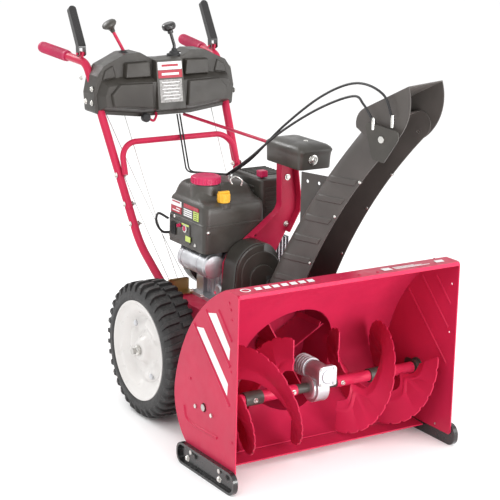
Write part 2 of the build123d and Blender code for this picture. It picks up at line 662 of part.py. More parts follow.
with BuildPart() as control_head:
    with Locations(((HEAD_X0 + HEAD_X1) / 2, (HEAD_Y0 + HEAD_Y1) / 2, (HEAD_BOTTOM_Z + HEAD_TOP_Z) / 2)):
        Box(HEAD_X1 - HEAD_X0, HEAD_Y1 - HEAD_Y0, HEAD_TOP_Z - HEAD_BOTTOM_Z)
    fillet(control_head.edges().filter_by(Axis.Z), 18)
    fillet(control_head.faces().sort_by(Axis.Z)[-1].edges(), 12)
    offset(amount=-TOWER_T, openings=control_head.faces().sort_by(Axis.Z)[0])
    with BuildSketch(Plane.XZ.offset(-HEAD_Y1 - 10)):
        with Locations((100, 792)):
            Circle(9)
    extrude(amount=30, mode=Mode.SUBTRACT)
save(control_head.part, "control_head")

ROD_FRONT = Vector(100, HEAD_Y1 - 36, 792)
ROD_REAR = Vector(72, 398, 806)
ROD_R = 5
ROD_AXIS = (ROD_REAR - ROD_FRONT).normalized()
with BuildPart() as chute_rod:
    with BuildSketch(Plane(origin=ROD_FRONT, z_dir=ROD_AXIS)):
        Circle(ROD_R)
    extrude(amount=(ROD_REAR - ROD_FRONT).length)
    with BuildSketch(Plane(origin=ROD_FRONT, z_dir=ROD_AXIS)):
        Circle(8)
    extrude(amount=14)
save(chute_rod.part, "chute_rod")

# ================================================================ drive frame and wheels
HEX_Y = -42
GEAR_CENTRES = 85                       # axle gear to pinion
GEAR_MODULE = 2.5
PINION_TEETH, AXLE_TEETH = 12, 56
HEX_Z = AXLE_Z + sqrt(GEAR_CENTRES ** 2 - HEX_Y ** 2)
FRAME_FRONT_Y = DRUM_BACK_Y + SHEET
FRAME_Y = (FRAME_FRONT_Y + FRAME_BACK_Y) / 2
FRAME_L = FRAME_BACK_Y - FRAME_FRONT_Y
BELT_SLOT_HALF = 94
FRAME_AXLE_R = 16

with BuildPart() as frame:
    with Locations((0, FRAME_Y, (FRAME_BOTTOM_Z + FRAME_TOP_Z) / 2)):
        Box(2 * FRAME_HALF, FRAME_L, FRAME_TOP_Z - FRAME_BOTTOM_Z)
    fillet(frame.edges().filter_by(Axis.Z).sort_by(Axis.Y)[-2:], 20)
    with Locations((0, FRAME_Y - 2, (FRAME_BOTTOM_Z + FRAME_TOP_Z) / 2 - 2 * SHEET)):
        Box(2 * (FRAME_HALF - SHEET), FRAME_L - 2 * SHEET + 4, FRAME_TOP_Z - FRAME_BOTTOM_Z + 2 * SHEET,
            mode=Mode.SUBTRACT)
    with Locations((0, FRAME_FRONT_Y, FRAME_TOP_Z)):
        Box(2 * BELT_SLOT_HALF, 150, 20, mode=Mode.SUBTRACT)
    with Locations(Location((0, 0, AXLE_Z), (0, 90, 0))):
        Cylinder(FRAME_AXLE_R, 2 * FRAME_HALF + 20, mode=Mode.SUBTRACT)
    with Locations(Location((0, HEX_Y, HEX_Z), (0, 90, 0))):
        Cylinder(14, 2 * FRAME_HALF + 20, mode=Mode.SUBTRACT)
save(frame.part, "frame")

with BuildPart() as frame_cover:
    with Locations((0, FRAME_Y, FRAME_BOTTOM_Z - SHEET / 2)):
        Box(2 * FRAME_HALF, FRAME_L, SHEET)
    fillet(frame_cover.edges().filter_by(Axis.Z).sort_by(Axis.Y)[-2:], 20)
save(frame_cover.part, "frame_cover")

HEX_R = 8
with BuildPart() as axle_bearings:
    for side in SIDES:
        for y, z, outer_r, bore_r in ((0, AXLE_Z, FRAME_AXLE_R, AXLE_R), (HEX_Y, HEX_Z, 14, HEX_R)):
            with Locations(Location((side * (FRAME_HALF - 5), y, z), (0, 90, 0))):
                Cylinder(outer_r, 14)
                Cylinder(bore_r + RUNNING, 14, mode=Mode.SUBTRACT)
save(Compound([impeller_bearing.part.solid(), *axle_bearings.part.solids()]), "shaft_bearings")

AXLE_END_X = 322
with BuildPart() as axle:
    with Locations(Location((0, 0, AXLE_Z), (0, 90, 0))):
        Cylinder(AXLE_R, 2 * AXLE_END_X)
save(axle.part, "axle")


def spur_gear(teeth, bore_r, phase):
    """Outline of a gear with straight-sided teeth; phase is the angle of its first tooth."""
    pitch_r = GEAR_MODULE * teeth / 2
    with BuildSketch() as outline:
        Circle(pitch_r - 1.2 * GEAR_MODULE)
        with PolarLocations(pitch_r - 0.15 * GEAR_MODULE, teeth, start_angle=phase):
            Trapezoid(0.62 * pi * GEAR_MODULE, 2.2 * GEAR_MODULE, 70, rotation=-90)
        Circle(bore_r, mode=Mode.SUBTRACT)
    return outline.sketch


GEAR_X = 118
GEAR_T = 12
MESH_ANGLE = degrees(atan2(HEX_Z - AXLE_Z, HEX_Y))   # from the axle to the hex shaft, in the YZ plane
with BuildPart() as axle_gear:
    with BuildSketch(Plane.YZ.offset(GEAR_X)):
        with Locations((0, AXLE_Z)):
            add(spur_gear(AXLE_TEETH, AXLE_R, MESH_ANGLE))
    extrude(amount=GEAR_T)
save(axle_gear.part, "axle_gear")

with BuildPart() as hex_shaft:
    with BuildSketch(Plane.YZ.offset(-FRAME_HALF - 6)):
        with Locations((HEX_Y, HEX_Z)):
            Circle(HEX_R)
    extrude(amount=2 * FRAME_HALF + 12)
    with BuildSketch(Plane.YZ.offset(GEAR_X - 1)):
        with Locations((HEX_Y, HEX_Z)):
            add(spur_gear(PINION_TEETH, HEX_R - 1, MESH_ANGLE + 180 + 180 / PINION_TEETH))
    extrude(amount=GEAR_T + 2)
save(hex_shaft.part, "hex_shaft")

DISC_R = 54
DISC_BACK_Y = -92
FRICTION_R = -(DISC_BACK_Y - HEX_Y) - 0.5
with BuildPart() as friction_wheel:
    with BuildSketch(Plane.YZ.offset(-8)):
        with Locations((HEX_Y, HEX_Z)):
            Circle(FRICTION_R)
            Circle(HEX_R + RUNNING, mode=Mode.SUBTRACT)
    extrude(amount=16)
    with BuildSketch(Plane.YZ.offset(-20)):
        with Locations((HEX_Y, HEX_Z)):
            Circle(18)
            Circle(HEX_R + RUNNING, mode=Mode.SUBTRACT)
    extrude(amount=40)
save(friction_wheel.part, "friction_wheel")

with BuildPart() as friction_disc:
    with BuildSketch(Plane.XZ.offset(-DISC_BACK_Y)):
        with Locations((0, HEX_Z)):
            Circle(DISC_R)
    extrude(amount=6)
    with BuildSketch(Plane.XZ.offset(-DISC_BACK_Y + 6)):
        with Locations((0, HEX_Z)):
            Circle(16)
    extrude(amount=-DRIVE_FRONT_Y + DISC_BACK_Y - 6)
    add(pulley((0, HEX_Z), DRIVE_FRONT_Y, DRIVE_BACK_Y, 52, GROOVE, 12))
save(friction_disc.part, "friction_disc")

RIM_R = 145
with BuildPart() as rim_left:
    with BuildSketch(Plane.XZ.offset(0)):
        with BuildLine():
            Polyline((WHEEL_OUT_X - 2, RIM_R + 3), (WHEEL_OUT_X - 2, RIM_R - 3), (WHEEL_OUT_X - 12, RIM_R - 7),
                     (WHEEL_OUT_X - 16, 118), (WHEEL_OUT_X - 30, 100), (WHEEL_OUT_X - 26, 46),
                     (WHEEL_OUT_X - 12, 30), (WHEEL_OUT_X, 24), (WHEEL_OUT_X, AXLE_R), (WHEEL_IN_X + 10, AXLE_R),
                     (WHEEL_IN_X + 10, 20), (WHEEL_OUT_X - 36, 24), (WHEEL_OUT_X - 32, 46),
                     (WHEEL_OUT_X - 35, 102), (WHEEL_OUT_X - 21, 122), (WHEEL_OUT_X - 18, RIM_R - 10),
                     (WHEEL_IN_X + 14, RIM_R - 10), (WHEEL_IN_X + 6, RIM_R + 3), (WHEEL_IN_X + 9, RIM_R + 3),
                     (WHEEL_IN_X + 16, RIM_R - 6), (WHEEL_OUT_X - 14, RIM_R - 6), (WHEEL_OUT_X - 6, RIM_R + 3),
                     close=True)
        make_face()
    revolve(axis=Axis.X)
    with BuildSketch(Plane.YZ):
        with PolarLocations(78, 2, start_angle=60):
            Circle(5)
    extrude(amount=WHEEL_OUT_X + 10, mode=Mode.SUBTRACT)
rim_left_solid = Pos(0, 0, AXLE_Z) * rim_left.part.solid()
rim_right_solid = mirror(rim_left_solid, about=Plane.YZ, mode=Mode.PRIVATE)
save(Compound([rim_left_solid, rim_right_solid.solid()]), "wheel_rims")

with BuildPart() as tyre:
    with BuildSketch(Plane.XZ):
        with BuildLine():
            Polyline((WHEEL_OUT_X - 3, RIM_R + 3.2), (WHEEL_OUT_X, RIM_R + 12), (WHEEL_OUT_X, 178),
                     (WHEEL_OUT_X - 6, 192), (WHEEL_OUT_X - 18, TYRE_R), (WHEEL_IN_X + 18, TYRE_R),
                     (WHEEL_IN_X + 6, 192), (WHEEL_IN_X, 178), (WHEEL_IN_X, RIM_R + 12),
                     (WHEEL_IN_X + 6, RIM_R + 3.2), (WHEEL_IN_X + 12, RIM_R + 3.2), (WHEEL_IN_X + 16, RIM_R + 12),
                     (WHEEL_IN_X + 12, 184), (WHEEL_OUT_X - 12, 184), (WHEEL_OUT_X - 16, RIM_R + 12),
                     (WHEEL_OUT_X - 12, RIM_R + 3.2), close=True)
        make_face()
    revolve(axis=Axis.X)
tyre_left_solid = Pos(0, 0, AXLE_Z) * tyre.part.solid()
save(Compound([tyre_left_solid, mirror(tyre_left_solid, about=Plane.YZ, mode=Mode.PRIVATE).solid()]), "tyres")

# ================================================================ belts and belt cover
CRANK_PULLEY_R, CRANK_DRIVE_R = 28, 28
BELT_T = 4                  # width of a belt where it lies in its groove
COVER_FRONT_Y = -186
COVER_SHEET = 2.5
COVER_RECESS_R = 92          # the cover is cut away around the foot of the chute


def belt_loop(r_top, low_z, r_low, rise):
    """Area inside a belt that runs over the crank pulley and a pulley below it, rise outside their rims."""
    with BuildSketch() as loop:
        with Locations((0, CRANK_Z)):
            Circle(r_top + rise)
        with Locations((0, low_z)):
            Circle(r_low + rise)
        make_hull()
    return loop.sketch


with BuildPart() as belts:
    for low_z, r_top, r_low, front, back in (
            (IMPELLER_Z, CRANK_PULLEY_R, IMPELLER_PULLEY_R, BELT_FRONT_Y, BELT_BACK_Y),
            (HEX_Z, CRANK_DRIVE_R, 52, DRIVE_FRONT_Y, DRIVE_BACK_Y)):
        with BuildSketch(Plane.XZ.offset(-(front + back) / 2 - BELT_T / 2)):
            add(belt_loop(r_top, low_z, r_low, 1))
            add(belt_loop(r_top, low_z, r_low, -GROOVE + 2), mode=Mode.SUBTRACT)
        extrude(amount=BELT_T)
save(belts.part, "belts")


def cover_arch(inset):
    with BuildSketch() as arch:
        with BuildLine():
            Polyline((-100 + inset, FRAME_TOP_Z), (-88 + inset, 462))
            ThreePointArc((-88 + inset, 462), (-6, 532 - inset), (70 - inset, 462))
            Polyline((70 - inset, 462), (98 - inset, FRAME_TOP_Z), (-100 + inset, FRAME_TOP_Z))
        make_face()
    return arch.sketch


COVER_BACK_Y = PTO_Y - TOWER_T - 0.5
with BuildPart() as cover_inside:
    with BuildSketch(Plane.XZ.offset(-COVER_BACK_Y - 1)):
        add(cover_arch(COVER_SHEET))
    extrude(amount=COVER_BACK_Y + 1 - COVER_FRONT_Y - COVER_SHEET)
    with Locations((CHUTE_X, CHUTE_Y, FRAME_TOP_Z)):
        Cylinder(COVER_RECESS_R + COVER_SHEET, 600, mode=Mode.SUBTRACT)
with BuildPart() as belt_cover:
    with BuildSketch(Plane.XZ.offset(-COVER_BACK_Y)):
        add(cover_arch(0))
    extrude(amount=COVER_BACK_Y - COVER_FRONT_Y)
    fillet(belt_cover.faces().sort_by(Axis.Y)[0].edges().filter_by(lambda e: e.center().Z > FRAME_TOP_Z + 1), 10)
    with Locations((CHUTE_X, CHUTE_Y, FRAME_TOP_Z)):
        Cylinder(COVER_RECESS_R, 600, mode=Mode.SUBTRACT)
    add(cover_inside.part, mode=Mode.SUBTRACT)
save(belt_cover.part, "belt_cover")

# ================================================================ engine
CASE_X0, CASE_X1 = -64, 76
CASE_TOP_Z = 492
ENGINE_BACK_Y = 56
JOURNAL_R = 12
with BuildPart() as crankcase:
    with Locations(((CASE_X0 + CASE_X1) / 2, (PTO_Y + ENGINE_BACK_Y) / 2, (FRAME_TOP_Z + CASE_TOP_Z) / 2)):
        Box(CASE_X1 - CASE_X0, ENGINE_BACK_Y - PTO_Y, CASE_TOP_Z - FRAME_TOP_Z)
    fillet(crankcase.edges().filter_by(Axis.Y), 22)
    with Locations((0, (PTO_Y + ENGINE_BACK_Y) / 2 + 4, FRAME_TOP_Z + 5)):
        Box(196, ENGINE_BACK_Y - PTO_Y - 8, 10)
    with Locations(Location((0, (PTO_Y + ENGINE_BACK_Y) / 2, CRANK_Z), (90, 0, 0))):
        Cylinder(43, ENGINE_BACK_Y - PTO_Y - 24, mode=Mode.SUBTRACT)
        Cylinder(JOURNAL_R + RUNNING, ENGINE_BACK_Y - PTO_Y + 20, mode=Mode.SUBTRACT)
save(crankcase.part, "crankcase")

FLYWHEEL_R = 84
RECOIL_BACK_Y = 112
with BuildPart() as crankshaft:
    with BuildSketch(Plane.XZ.offset(-BELT_FRONT_Y)):
        with Locations((0, CRANK_Z)):
            Circle(JOURNAL_R)
    extrude(amount=-(96 - BELT_FRONT_Y))
    for y in (-40, 0):
        with BuildSketch(Plane.XZ.offset(-y)):
            with Locations((0, CRANK_Z)):
                Circle(40)
        extrude(amount=14)
    with BuildSketch(Plane.XZ.offset(-92)):
        with Locations((0, CRANK_Z)):
            Circle(FLYWHEEL_R)
    extrude(amount=26)
    add(pulley((0, CRANK_Z), BELT_FRONT_Y, BELT_BACK_Y, CRANK_PULLEY_R, GROOVE, 10))
    add(pulley((0, CRANK_Z), DRIVE_FRONT_Y, DRIVE_BACK_Y, CRANK_DRIVE_R, GROOVE, 10))
save(crankshaft.part, "crankshaft")

HEAD_FIN_X0, HEAD_FIN_X1 = CASE_X1 + 1, 172
with BuildPart() as cylinder_head:
    with Locations(((HEAD_FIN_X0 + HEAD_FIN_X1) / 2, -20, 452)):
        Box(HEAD_FIN_X1 - HEAD_FIN_X0, 76, 76)
        with GridLocations(11, 1, 8, 1):
            Box(4, 112, 112)
save(cylinder_head.part, "cylinder_head")

STARTER_X, STARTER_Z, STARTER_R = -112, 455, 36
STARTER_Y0, STARTER_Y1 = -96, 46
with BuildPart() as starter_motor:
    with BuildSketch(Plane.XZ.offset(-STARTER_Y1)):
        with Locations((STARTER_X, STARTER_Z)):
            Circle(STARTER_R)
    extrude(amount=STARTER_Y1 - STARTER_Y0)
    with BuildSketch(Plane.XZ.offset(-STARTER_Y0)):
        with Locations((STARTER_X, STARTER_Z)):
            Circle(STARTER_R - 5)
    extrude(amount=9)
    fillet(starter_motor.edges().group_by(Axis.Y)[0], 3)
    with Locations((STARTER_X + 38, 20, STARTER_Z - 10)):
        Box(20, 26, 36)
save(starter_motor.part, "starter_motor")

with BuildPart() as recoil_housing:
    with BuildSketch(Plane.XZ.offset(-RECOIL_BACK_Y)):
        with Locations((0, CRANK_Z)):
            Circle(106)
    extrude(amount=RECOIL_BACK_Y - ENGINE_BACK_Y - 1)
    fillet(recoil_housing.edges().group_by(Axis.Y)[-1], 14)
    with BuildSketch(Plane.XZ.offset(-RECOIL_BACK_Y + 6)):
        with Locations((0, CRANK_Z)):
            Circle(92)
    extrude(amount=100, mode=Mode.SUBTRACT)
    with BuildSketch(Plane.XZ.offset(-RECOIL_BACK_Y)):
        with Locations((0, CRANK_Z)):
            Circle(64)
    extrude(amount=-16)
save(recoil_housing.part, "recoil_housing")

SHROUD_X0, SHROUD_X1 = -150, 56
SHROUD_Y0, SHROUD_Y1 = -112, 100
SHROUD_Z0, SHROUD_Z1 = 497, 574
TANK_TOP_Z = 684
BUTTON_Y, BUTTON_Z = -6, 552
WALL = 3
with BuildPart() as engine_shroud:
    with Locations(((SHROUD_X0 + SHROUD_X1) / 2, (SHROUD_Y0 + SHROUD_Y1) / 2, (SHROUD_Z0 + SHROUD_Z1) / 2)):
        Box(SHROUD_X1 - SHROUD_X0, SHROUD_Y1 - SHROUD_Y0, SHROUD_Z1 - SHROUD_Z0)
    fillet(engine_shroud.edges().filter_by(Axis.Z), 14)
    offset(amount=-WALL, openings=engine_shroud.faces().sort_by(Axis.Z)[0])
    with Locations(Location((SHROUD_X0, BUTTON_Y, BUTTON_Z), (0, 90, 0))):
        Cylinder(7, 20, mode=Mode.SUBTRACT)
    with Locations(Location((0, ENGINE_BACK_Y, CRANK_Z), (90, 0, 0))):
        Cylinder(108, 110, mode=Mode.SUBTRACT)
save(engine_shroud.part, "engine_shroud")

with BuildPart() as start_button:
    with Locations(Location((SHROUD_X0 - 1, BUTTON_Y, BUTTON_Z), (0, 90, 0))):
        Cylinder(6.9, 12)
save(start_button.part, "start_button")

FUEL_CAP_X, FUEL_CAP_Y, FUEL_CAP_R = -92, -18, 42
OIL_CAP_X, OIL_CAP_Y, OIL_CAP_Z, OIL_CAP_R = -76, -92, 640, 18
SHOULDER_Z = 632            # top of the tank's upright walls
with BuildPart() as fuel_tank:
    with BuildSketch(Plane.YZ.offset(SHROUD_X0 + 2)):
        with BuildLine():
            Polyline((SHROUD_Y0 + 2, SHROUD_Z1), (SHROUD_Y0 + 2, SHOULDER_Z), (SHROUD_Y0 + 9, 639), (-72, 645),
                     (-58, 672), (-44, TANK_TOP_Z), (SHROUD_Y1 - 26, TANK_TOP_Z), (SHROUD_Y1 - 9, 668),
                     (SHROUD_Y1 - 2, 646), (SHROUD_Y1 - 2, SHROUD_Z1), (SHROUD_Y0 + 2, SHROUD_Z1))
        make_face()
    extrude(amount=SHROUD_X1 - SHROUD_X0 - 4)
    with BuildSketch(Plane.XZ.offset(-SHROUD_Y1)):
        with BuildLine():
            Polyline((SHROUD_X0 + 2, SHROUD_Z1), (SHROUD_X0 + 2, SHOULDER_Z), (SHROUD_X0 + 12, 662),
                     (SHROUD_X0 + 36, TANK_TOP_Z), (SHROUD_X1 - 26, TANK_TOP_Z), (SHROUD_X1 - 9, 668),
                     (SHROUD_X1 - 2, 646), (SHROUD_X1 - 2, SHROUD_Z1), (SHROUD_X0 + 2, SHROUD_Z1))
        make_face()
    extrude(amount=SHROUD_Y1 - SHROUD_Y0, mode=Mode.INTERSECT)
    with BuildSketch(Plane.XY.offset(SHROUD_Z1)):
        with Locations(((SHROUD_X0 + SHROUD_X1) / 2, (SHROUD_Y0 + SHROUD_Y1) / 2)):
            RectangleRounded(SHROUD_X1 - SHROUD_X0 - 4, SHROUD_Y1 - SHROUD_Y0 - 4, 20)
    extrude(amount=TANK_TOP_Z - SHROUD_Z1, mode=Mode.INTERSECT)
    with Locations((FUEL_CAP_X, FUEL_CAP_Y, SHOULDER_Z)):
        Cylinder(FUEL_CAP_R - 1, TANK_TOP_Z - SHOULDER_Z, align=(Align.CENTER, Align.CENTER, Align.MIN))
    with Locations((FUEL_CAP_X, FUEL_CAP_Y, TANK_TOP_Z - 20)):
        Cylinder(20, 40, align=(Align.CENTER, Align.CENTER, Align.MIN), mode=Mode.SUBTRACT)
    with Locations((OIL_CAP_X, OIL_CAP_Y, OIL_CAP_Z)):
        Cylinder(OIL_CAP_R + 2, 60, align=(Align.CENTER, Align.CENTER, Align.MIN), mode=Mode.SUBTRACT)
        Cylinder(OIL_CAP_R - 6, 40, mode=Mode.SUBTRACT)
save(fuel_tank.part, "fuel_tank")

with BuildPart() as fuel_cap:
    with BuildSketch(Plane.XY.offset(TANK_TOP_Z + 1)):
        with Locations((FUEL_CAP_X, FUEL_CAP_Y)):
            Circle(FUEL_CAP_R)
    extrude(amount=21)
    fillet(fuel_cap.edges().group_by(Axis.Z)[-1], 5)
    with BuildSketch(Plane.XY.offset(TANK_TOP_Z + 1)):
        with Locations((FUEL_CAP_X, FUEL_CAP_Y)):
            Circle(19.9)
    extrude(amount=-16)
save(fuel_cap.part, "fuel_cap")

with BuildPart() as oil_cap:
    with Locations((OIL_CAP_X, OIL_CAP_Y, OIL_CAP_Z + 1)):
        Cylinder(OIL_CAP_R, 26, align=(Align.CENTER, Align.CENTER, Align.MIN))
    fillet(oil_cap.edges().group_by(Axis.Z)[-1], 3)
    with Locations((OIL_CAP_X, OIL_CAP_Y, OIL_CAP_Z - 14)):
        Cylinder(OIL_CAP_R - 6.1, 16, align=(Align.CENTER, Align.CENTER, Align.MIN))
save(oil_cap.part, "oil_cap")

GUARD_X0, GUARD_X1 = 62, 186
GUARD_Y0, GUARD_Y1 = -74, 96
GUARD_Z0, GUARD_Z1 = 566, 688
KNOB_X, KNOB_Y = 84, -44
with BuildPart() as muffler_guard:
    with Locations(((GUARD_X0 + GUARD_X1) / 2, (GUARD_Y0 + GUARD_Y1) / 2, (GUARD_Z0 + GUARD_Z1) / 2)):
        Box(GUARD_X1 - GUARD_X0, GUARD_Y1 - GUARD_Y0, GUARD_Z1 - GUARD_Z0)
    fillet(muffler_guard.edges().filter_by(Axis.Z), 12)
    fillet(muffler_guard.faces().sort_by(Axis.Z)[-1].edges(), 8)
    offset(amount=-WALL, openings=muffler_guard.faces().sort_by(Axis.Z)[0])
    with Locations(((GUARD_X0 + GUARD_X1) / 2 + 8, (GUARD_Y0 + GUARD_Y1) / 2 + 16, GUARD_Z1)):
        with GridLocations(1, 16, 1, 7):
            Box(84, 8, 20, mode=Mode.SUBTRACT)
    with Locations((KNOB_X, KNOB_Y, GUARD_Z1)):
        Cylinder(4 + RUNNING, 30, mode=Mode.SUBTRACT)
save(muffler_guard.part, "muffler_guard")

with BuildPart() as choke_knob:
    with Locations((KNOB_X, KNOB_Y, GUARD_Z1 + 2)):
        Box(26, 26, 20, align=(Align.CENTER, Align.CENTER, Align.MIN))
    fillet(choke_knob.edges(), 4)
    with Locations((KNOB_X, KNOB_Y, GUARD_Z1 - 12)):
        Cylinder(4, 18, align=(Align.CENTER, Align.CENTER, Align.MIN))
save(choke_knob.part, "choke_knob")

PULL_X, PULL_Y, PULL_Z = -112, 118, 540
with BuildPart() as recoil_handle:
    with Locations((PULL_X, PULL_Y + 10, PULL_Z)):
        Box(16, 20, 74)
    fillet(recoil_handle.edges(), 6)
save(recoil_handle.part, "recoil_handle")

# ================================================================ handles
JOINT = (-199.5, 248, 560)              # where the upper tube starts
BEND = (-232, 472, 976)                 # where the upper tube turns towards the operator
TUBE_END = (-256, 729, 993)
LOWER_START = (-172.5, 18, 318)
LOWER_BEND = (-192, 196, 463.5)
TUBE_BORE_R = 10.3
LEVER_PIVOT_Y, LEVER_PIVOT_Z = 500, 1000
LEVER_X = -234.6                        # middle of the tube below the lever pivot
LEVER_PIN_R = 4
TUBE_TOP_Z = 989.7                      # top of the tube below the lever pivot


def tube(points, radius, outer_r, inner_r):
    """A round tube along straight runs and bends; solid when the inner radius is zero."""
    with BuildPart() as one_tube:
        with BuildLine() as path:
            bent_path(points, radius)
        with BuildSketch(start_plane(points)):
            Circle(outer_r)
            if inner_r:
                Circle(inner_r, mode=Mode.SUBTRACT)
        sweep(path=path.line)
    return one_tube.part


def both_sides(part):
    """The part and its mirror image as one group."""
    return Compound([part.solid(), mirror(part, Plane.YZ).solid()])


with BuildPart() as lower_handle:
    add(tube((LOWER_START, LOWER_BEND, JOINT), 250, HANDLE_R, TUBE_BORE_R))
    along = (Vector(*BEND) - Vector(*JOINT)).normalized()
    with BuildSketch(Plane(origin=Vector(*JOINT) - along * 40, z_dir=along)):
        Circle(TUBE_BORE_R - 0.1)
    extrude(amount=100)
    with BuildSketch(Plane(origin=Vector(*JOINT) - along * 40, z_dir=along)):
        Circle(TUBE_BORE_R + 1)
    extrude(amount=10)
save(both_sides(lower_handle.part), "lower_handles")

with BuildPart() as upper_handle:
    add(tube((tuple(Vector(*JOINT) + along * 0.6), BEND, TUBE_END), 45, HANDLE_R, TUBE_BORE_R))
    with Locations((LEVER_X, LEVER_PIVOT_Y, TUBE_TOP_Z)):
        Box(5, 24, LEVER_PIVOT_Z + 7 - TUBE_TOP_Z, align=(Align.CENTER, Align.CENTER, Align.MIN))
    with Locations(Location((LEVER_X, LEVER_PIVOT_Y, LEVER_PIVOT_Z), (0, 90, 0))):
        Cylinder(LEVER_PIN_R, 32)
save(both_sides(upper_handle.part), "upper_handles")

BRACE_END = (-198, 278, 660)
BRACE_TOP = (-193, 318, 751)
with BuildPart() as cross_brace:
    brace_points = (BRACE_END, BRACE_TOP, (-BRACE_TOP[0], *BRACE_TOP[1:]), (-BRACE_END[0], *BRACE_END[1:]))
    add(tube(brace_points, 55, BRACE_R, 0))
save(cross_brace.part, "cross_brace")

GRIP_R, GRIP_BORE_R = 17, HANDLE_R + 0.05
with BuildPart() as grip:
    run = (Vector(*TUBE_END) - Vector(*BEND)).normalized()
    grip_start = Vector(*BEND) + run * 106
    with BuildSketch(Plane(origin=grip_start, z_dir=run)):
        Circle(GRIP_R)
    extrude(amount=(Vector(*TUBE_END) - grip_start).length + 5)
    fillet(grip.edges(), 3)
    with BuildSketch(Plane(origin=grip_start, z_dir=run)):
        Circle(GRIP_BORE_R)
    extrude(amount=(Vector(*TUBE_END) - grip_start).length + 0.5, mode=Mode.SUBTRACT)
save(both_sides(grip.part), "grips")

# ================================================================ clutch levers
LEVER_REST = 58.3           # angle of the lever above the horizontal
LEVER_L = 152
LEVER_DEPTH = 20            # height of the lever's back above its pivot line
CHEEK_IN, CHEEK_OUT = 10, 12.2
lever_plane = Plane(
    origin=(LEVER_X, LEVER_PIVOT_Y, LEVER_PIVOT_Z),
    x_dir=(0, cos(radians(LEVER_REST)), sin(radians(LEVER_REST))),
    z_dir=(1, 0, 0),
)


def lever_outline():
    """Side view of a lever: x runs along it from the pivot, y towards its back."""
    with BuildSketch() as outline:
        with BuildLine():
            Polyline((-8, -4), (-4, -8), (8, -8), (26, 1), (LEVER_L, 4), (LEVER_L, LEVER_DEPTH),
                     (16, LEVER_DEPTH), (-8, 8), (-8, -4))
        make_face()
    return outline.sketch


with BuildPart() as clutch_lever:
    with BuildSketch(lever_plane.offset(-CHEEK_OUT)):
        add(lever_outline())
    extrude(amount=2 * CHEEK_OUT)
    with BuildSketch(lever_plane.offset(-CHEEK_IN)):
        with Locations((LEVER_L / 2, 0)):
            Rectangle(LEVER_L + 60, 2 * (LEVER_DEPTH - 2.5))
    extrude(amount=2 * CHEEK_IN, mode=Mode.SUBTRACT)
    with BuildSketch(lever_plane.offset(-CHEEK_OUT)):
        Circle(LEVER_PIN_R + RUNNING)
    extrude(amount=2 * CHEEK_OUT, mode=Mode.SUBTRACT)
    with BuildSketch(Plane(origin=lever_plane.origin, x_dir=lever_plane.x_dir, z_dir=lever_plane.y_dir)):
        RectangleRounded(2 * LEVER_L, 2 * CHEEK_OUT, CHEEK_OUT - 1.5)
    extrude(amount=80, both=True, mode=Mode.INTERSECT)
save(mirror(clutch_lever.part, Plane.YZ).solid(), "drive_lever")
save(clutch_lever.part.solid(), "auger_lever")

# ================================================================ dash and its controls
DASH_FRONT_Y, DASH_BACK_Y = 390, 462
DASH_SHEET = 3
DASH_NOSE = 30              # how far the lower half stands out in front
SPEED_X, STICK_X, STICK_Y, STICK_Z = -128, 50, 426, 958
DASH_OUTLINE = ((0, 812), (-90, 812), (-242, 831), (-247, 890), (-236, 944), (-214, 974), (-178, 990),
                (-140, 1008), (-90, 1010), (-46, 986), (0, 984))
NOSE_OUTLINE = ((0, 822), (-88, 822), (-232, 840), (-238, 888), (-222, 930), (-140, 940), (0, 936))


def dash_body(inset):
    """The panel and its nose as a solid, with its walls pulled in by inset."""
    with BuildPart() as body:
        for outline, front, depth, slope in ((DASH_OUTLINE, DASH_BACK_Y, DASH_BACK_Y - DASH_FRONT_Y - inset, 0),
                                             (NOSE_OUTLINE, DASH_FRONT_Y + inset, DASH_NOSE, 28)):
            with BuildSketch(Plane.XZ.offset(-front)):
                with BuildLine():
                    Polyline(*outline)
                    mirror(about=Plane.YZ)
                make_face()
                if inset:
                    offset(amount=-inset, kind=Kind.INTERSECTION)
            extrude(amount=depth, taper=slope)
        if not inset:
            fillet(body.edges().filter_by(Axis.Y), 8)
    return body.part


with BuildPart() as dash_panel:
    add(dash_body(0))
    add(dash_body(DASH_SHEET), mode=Mode.SUBTRACT)
    for side in SIDES:
        with BuildSketch(start_plane(((side * JOINT[0], *JOINT[1:]), (side * BEND[0], *BEND[1:])))):
            Circle(HANDLE_R + 0.5)
        extrude(amount=600, mode=Mode.SUBTRACT)
    with Locations((STICK_X, STICK_Y, 1000)):
        Cylinder(22, 60, mode=Mode.SUBTRACT)
    with Locations((SPEED_X, STICK_Y, 1000)):
        Box(14, 50, 60, mode=Mode.SUBTRACT)
save(dash_panel.part, "dash_panel")



KNOB_R = 22


def control_stick(pivot, bend, knob_at, foot):
    """A bent round rod with a round knob on top and a cross hub at its pivot; foot is how far it runs below the pivot."""
    pivot, bend, knob_at = Vector(*pivot), Vector(*bend), Vector(*knob_at)
    upper = (knob_at - bend).normalized()
    with BuildPart() as stick:
        with BuildSketch(Plane(origin=pivot - Vector(0, 0, foot), z_dir=(0, 0, 1))):
            Circle(5)
        extrude(amount=bend.Z - pivot.Z + foot)
        with BuildSketch(Plane(origin=bend, z_dir=upper)):
            Circle(5)
        extrude(amount=(knob_at - bend).length)
        with Locations(bend):
            Sphere(5)
        with Locations(Plane(origin=knob_at, z_dir=upper).location):
            Cylinder(KNOB_R, 22)
            fillet(stick.edges().filter_by(lambda e: e.geom_type == GeomType.CIRCLE and e.radius > KNOB_R - 1), 9)
            Cylinder(9, 22, align=(Align.CENTER, Align.CENTER, Align.MAX))
        with Locations(Location(tuple(pivot), (0, 90, 0))):
            Cylinder(8, 14)
    return stick.part


with BuildPart() as speed_lever:
    add(control_stick((SPEED_X, STICK_Y, STICK_Z), (SPEED_X, STICK_Y, 1014), (-174, STICK_Y + 4, 1094), 2))
save(speed_lever.part, "speed_lever")

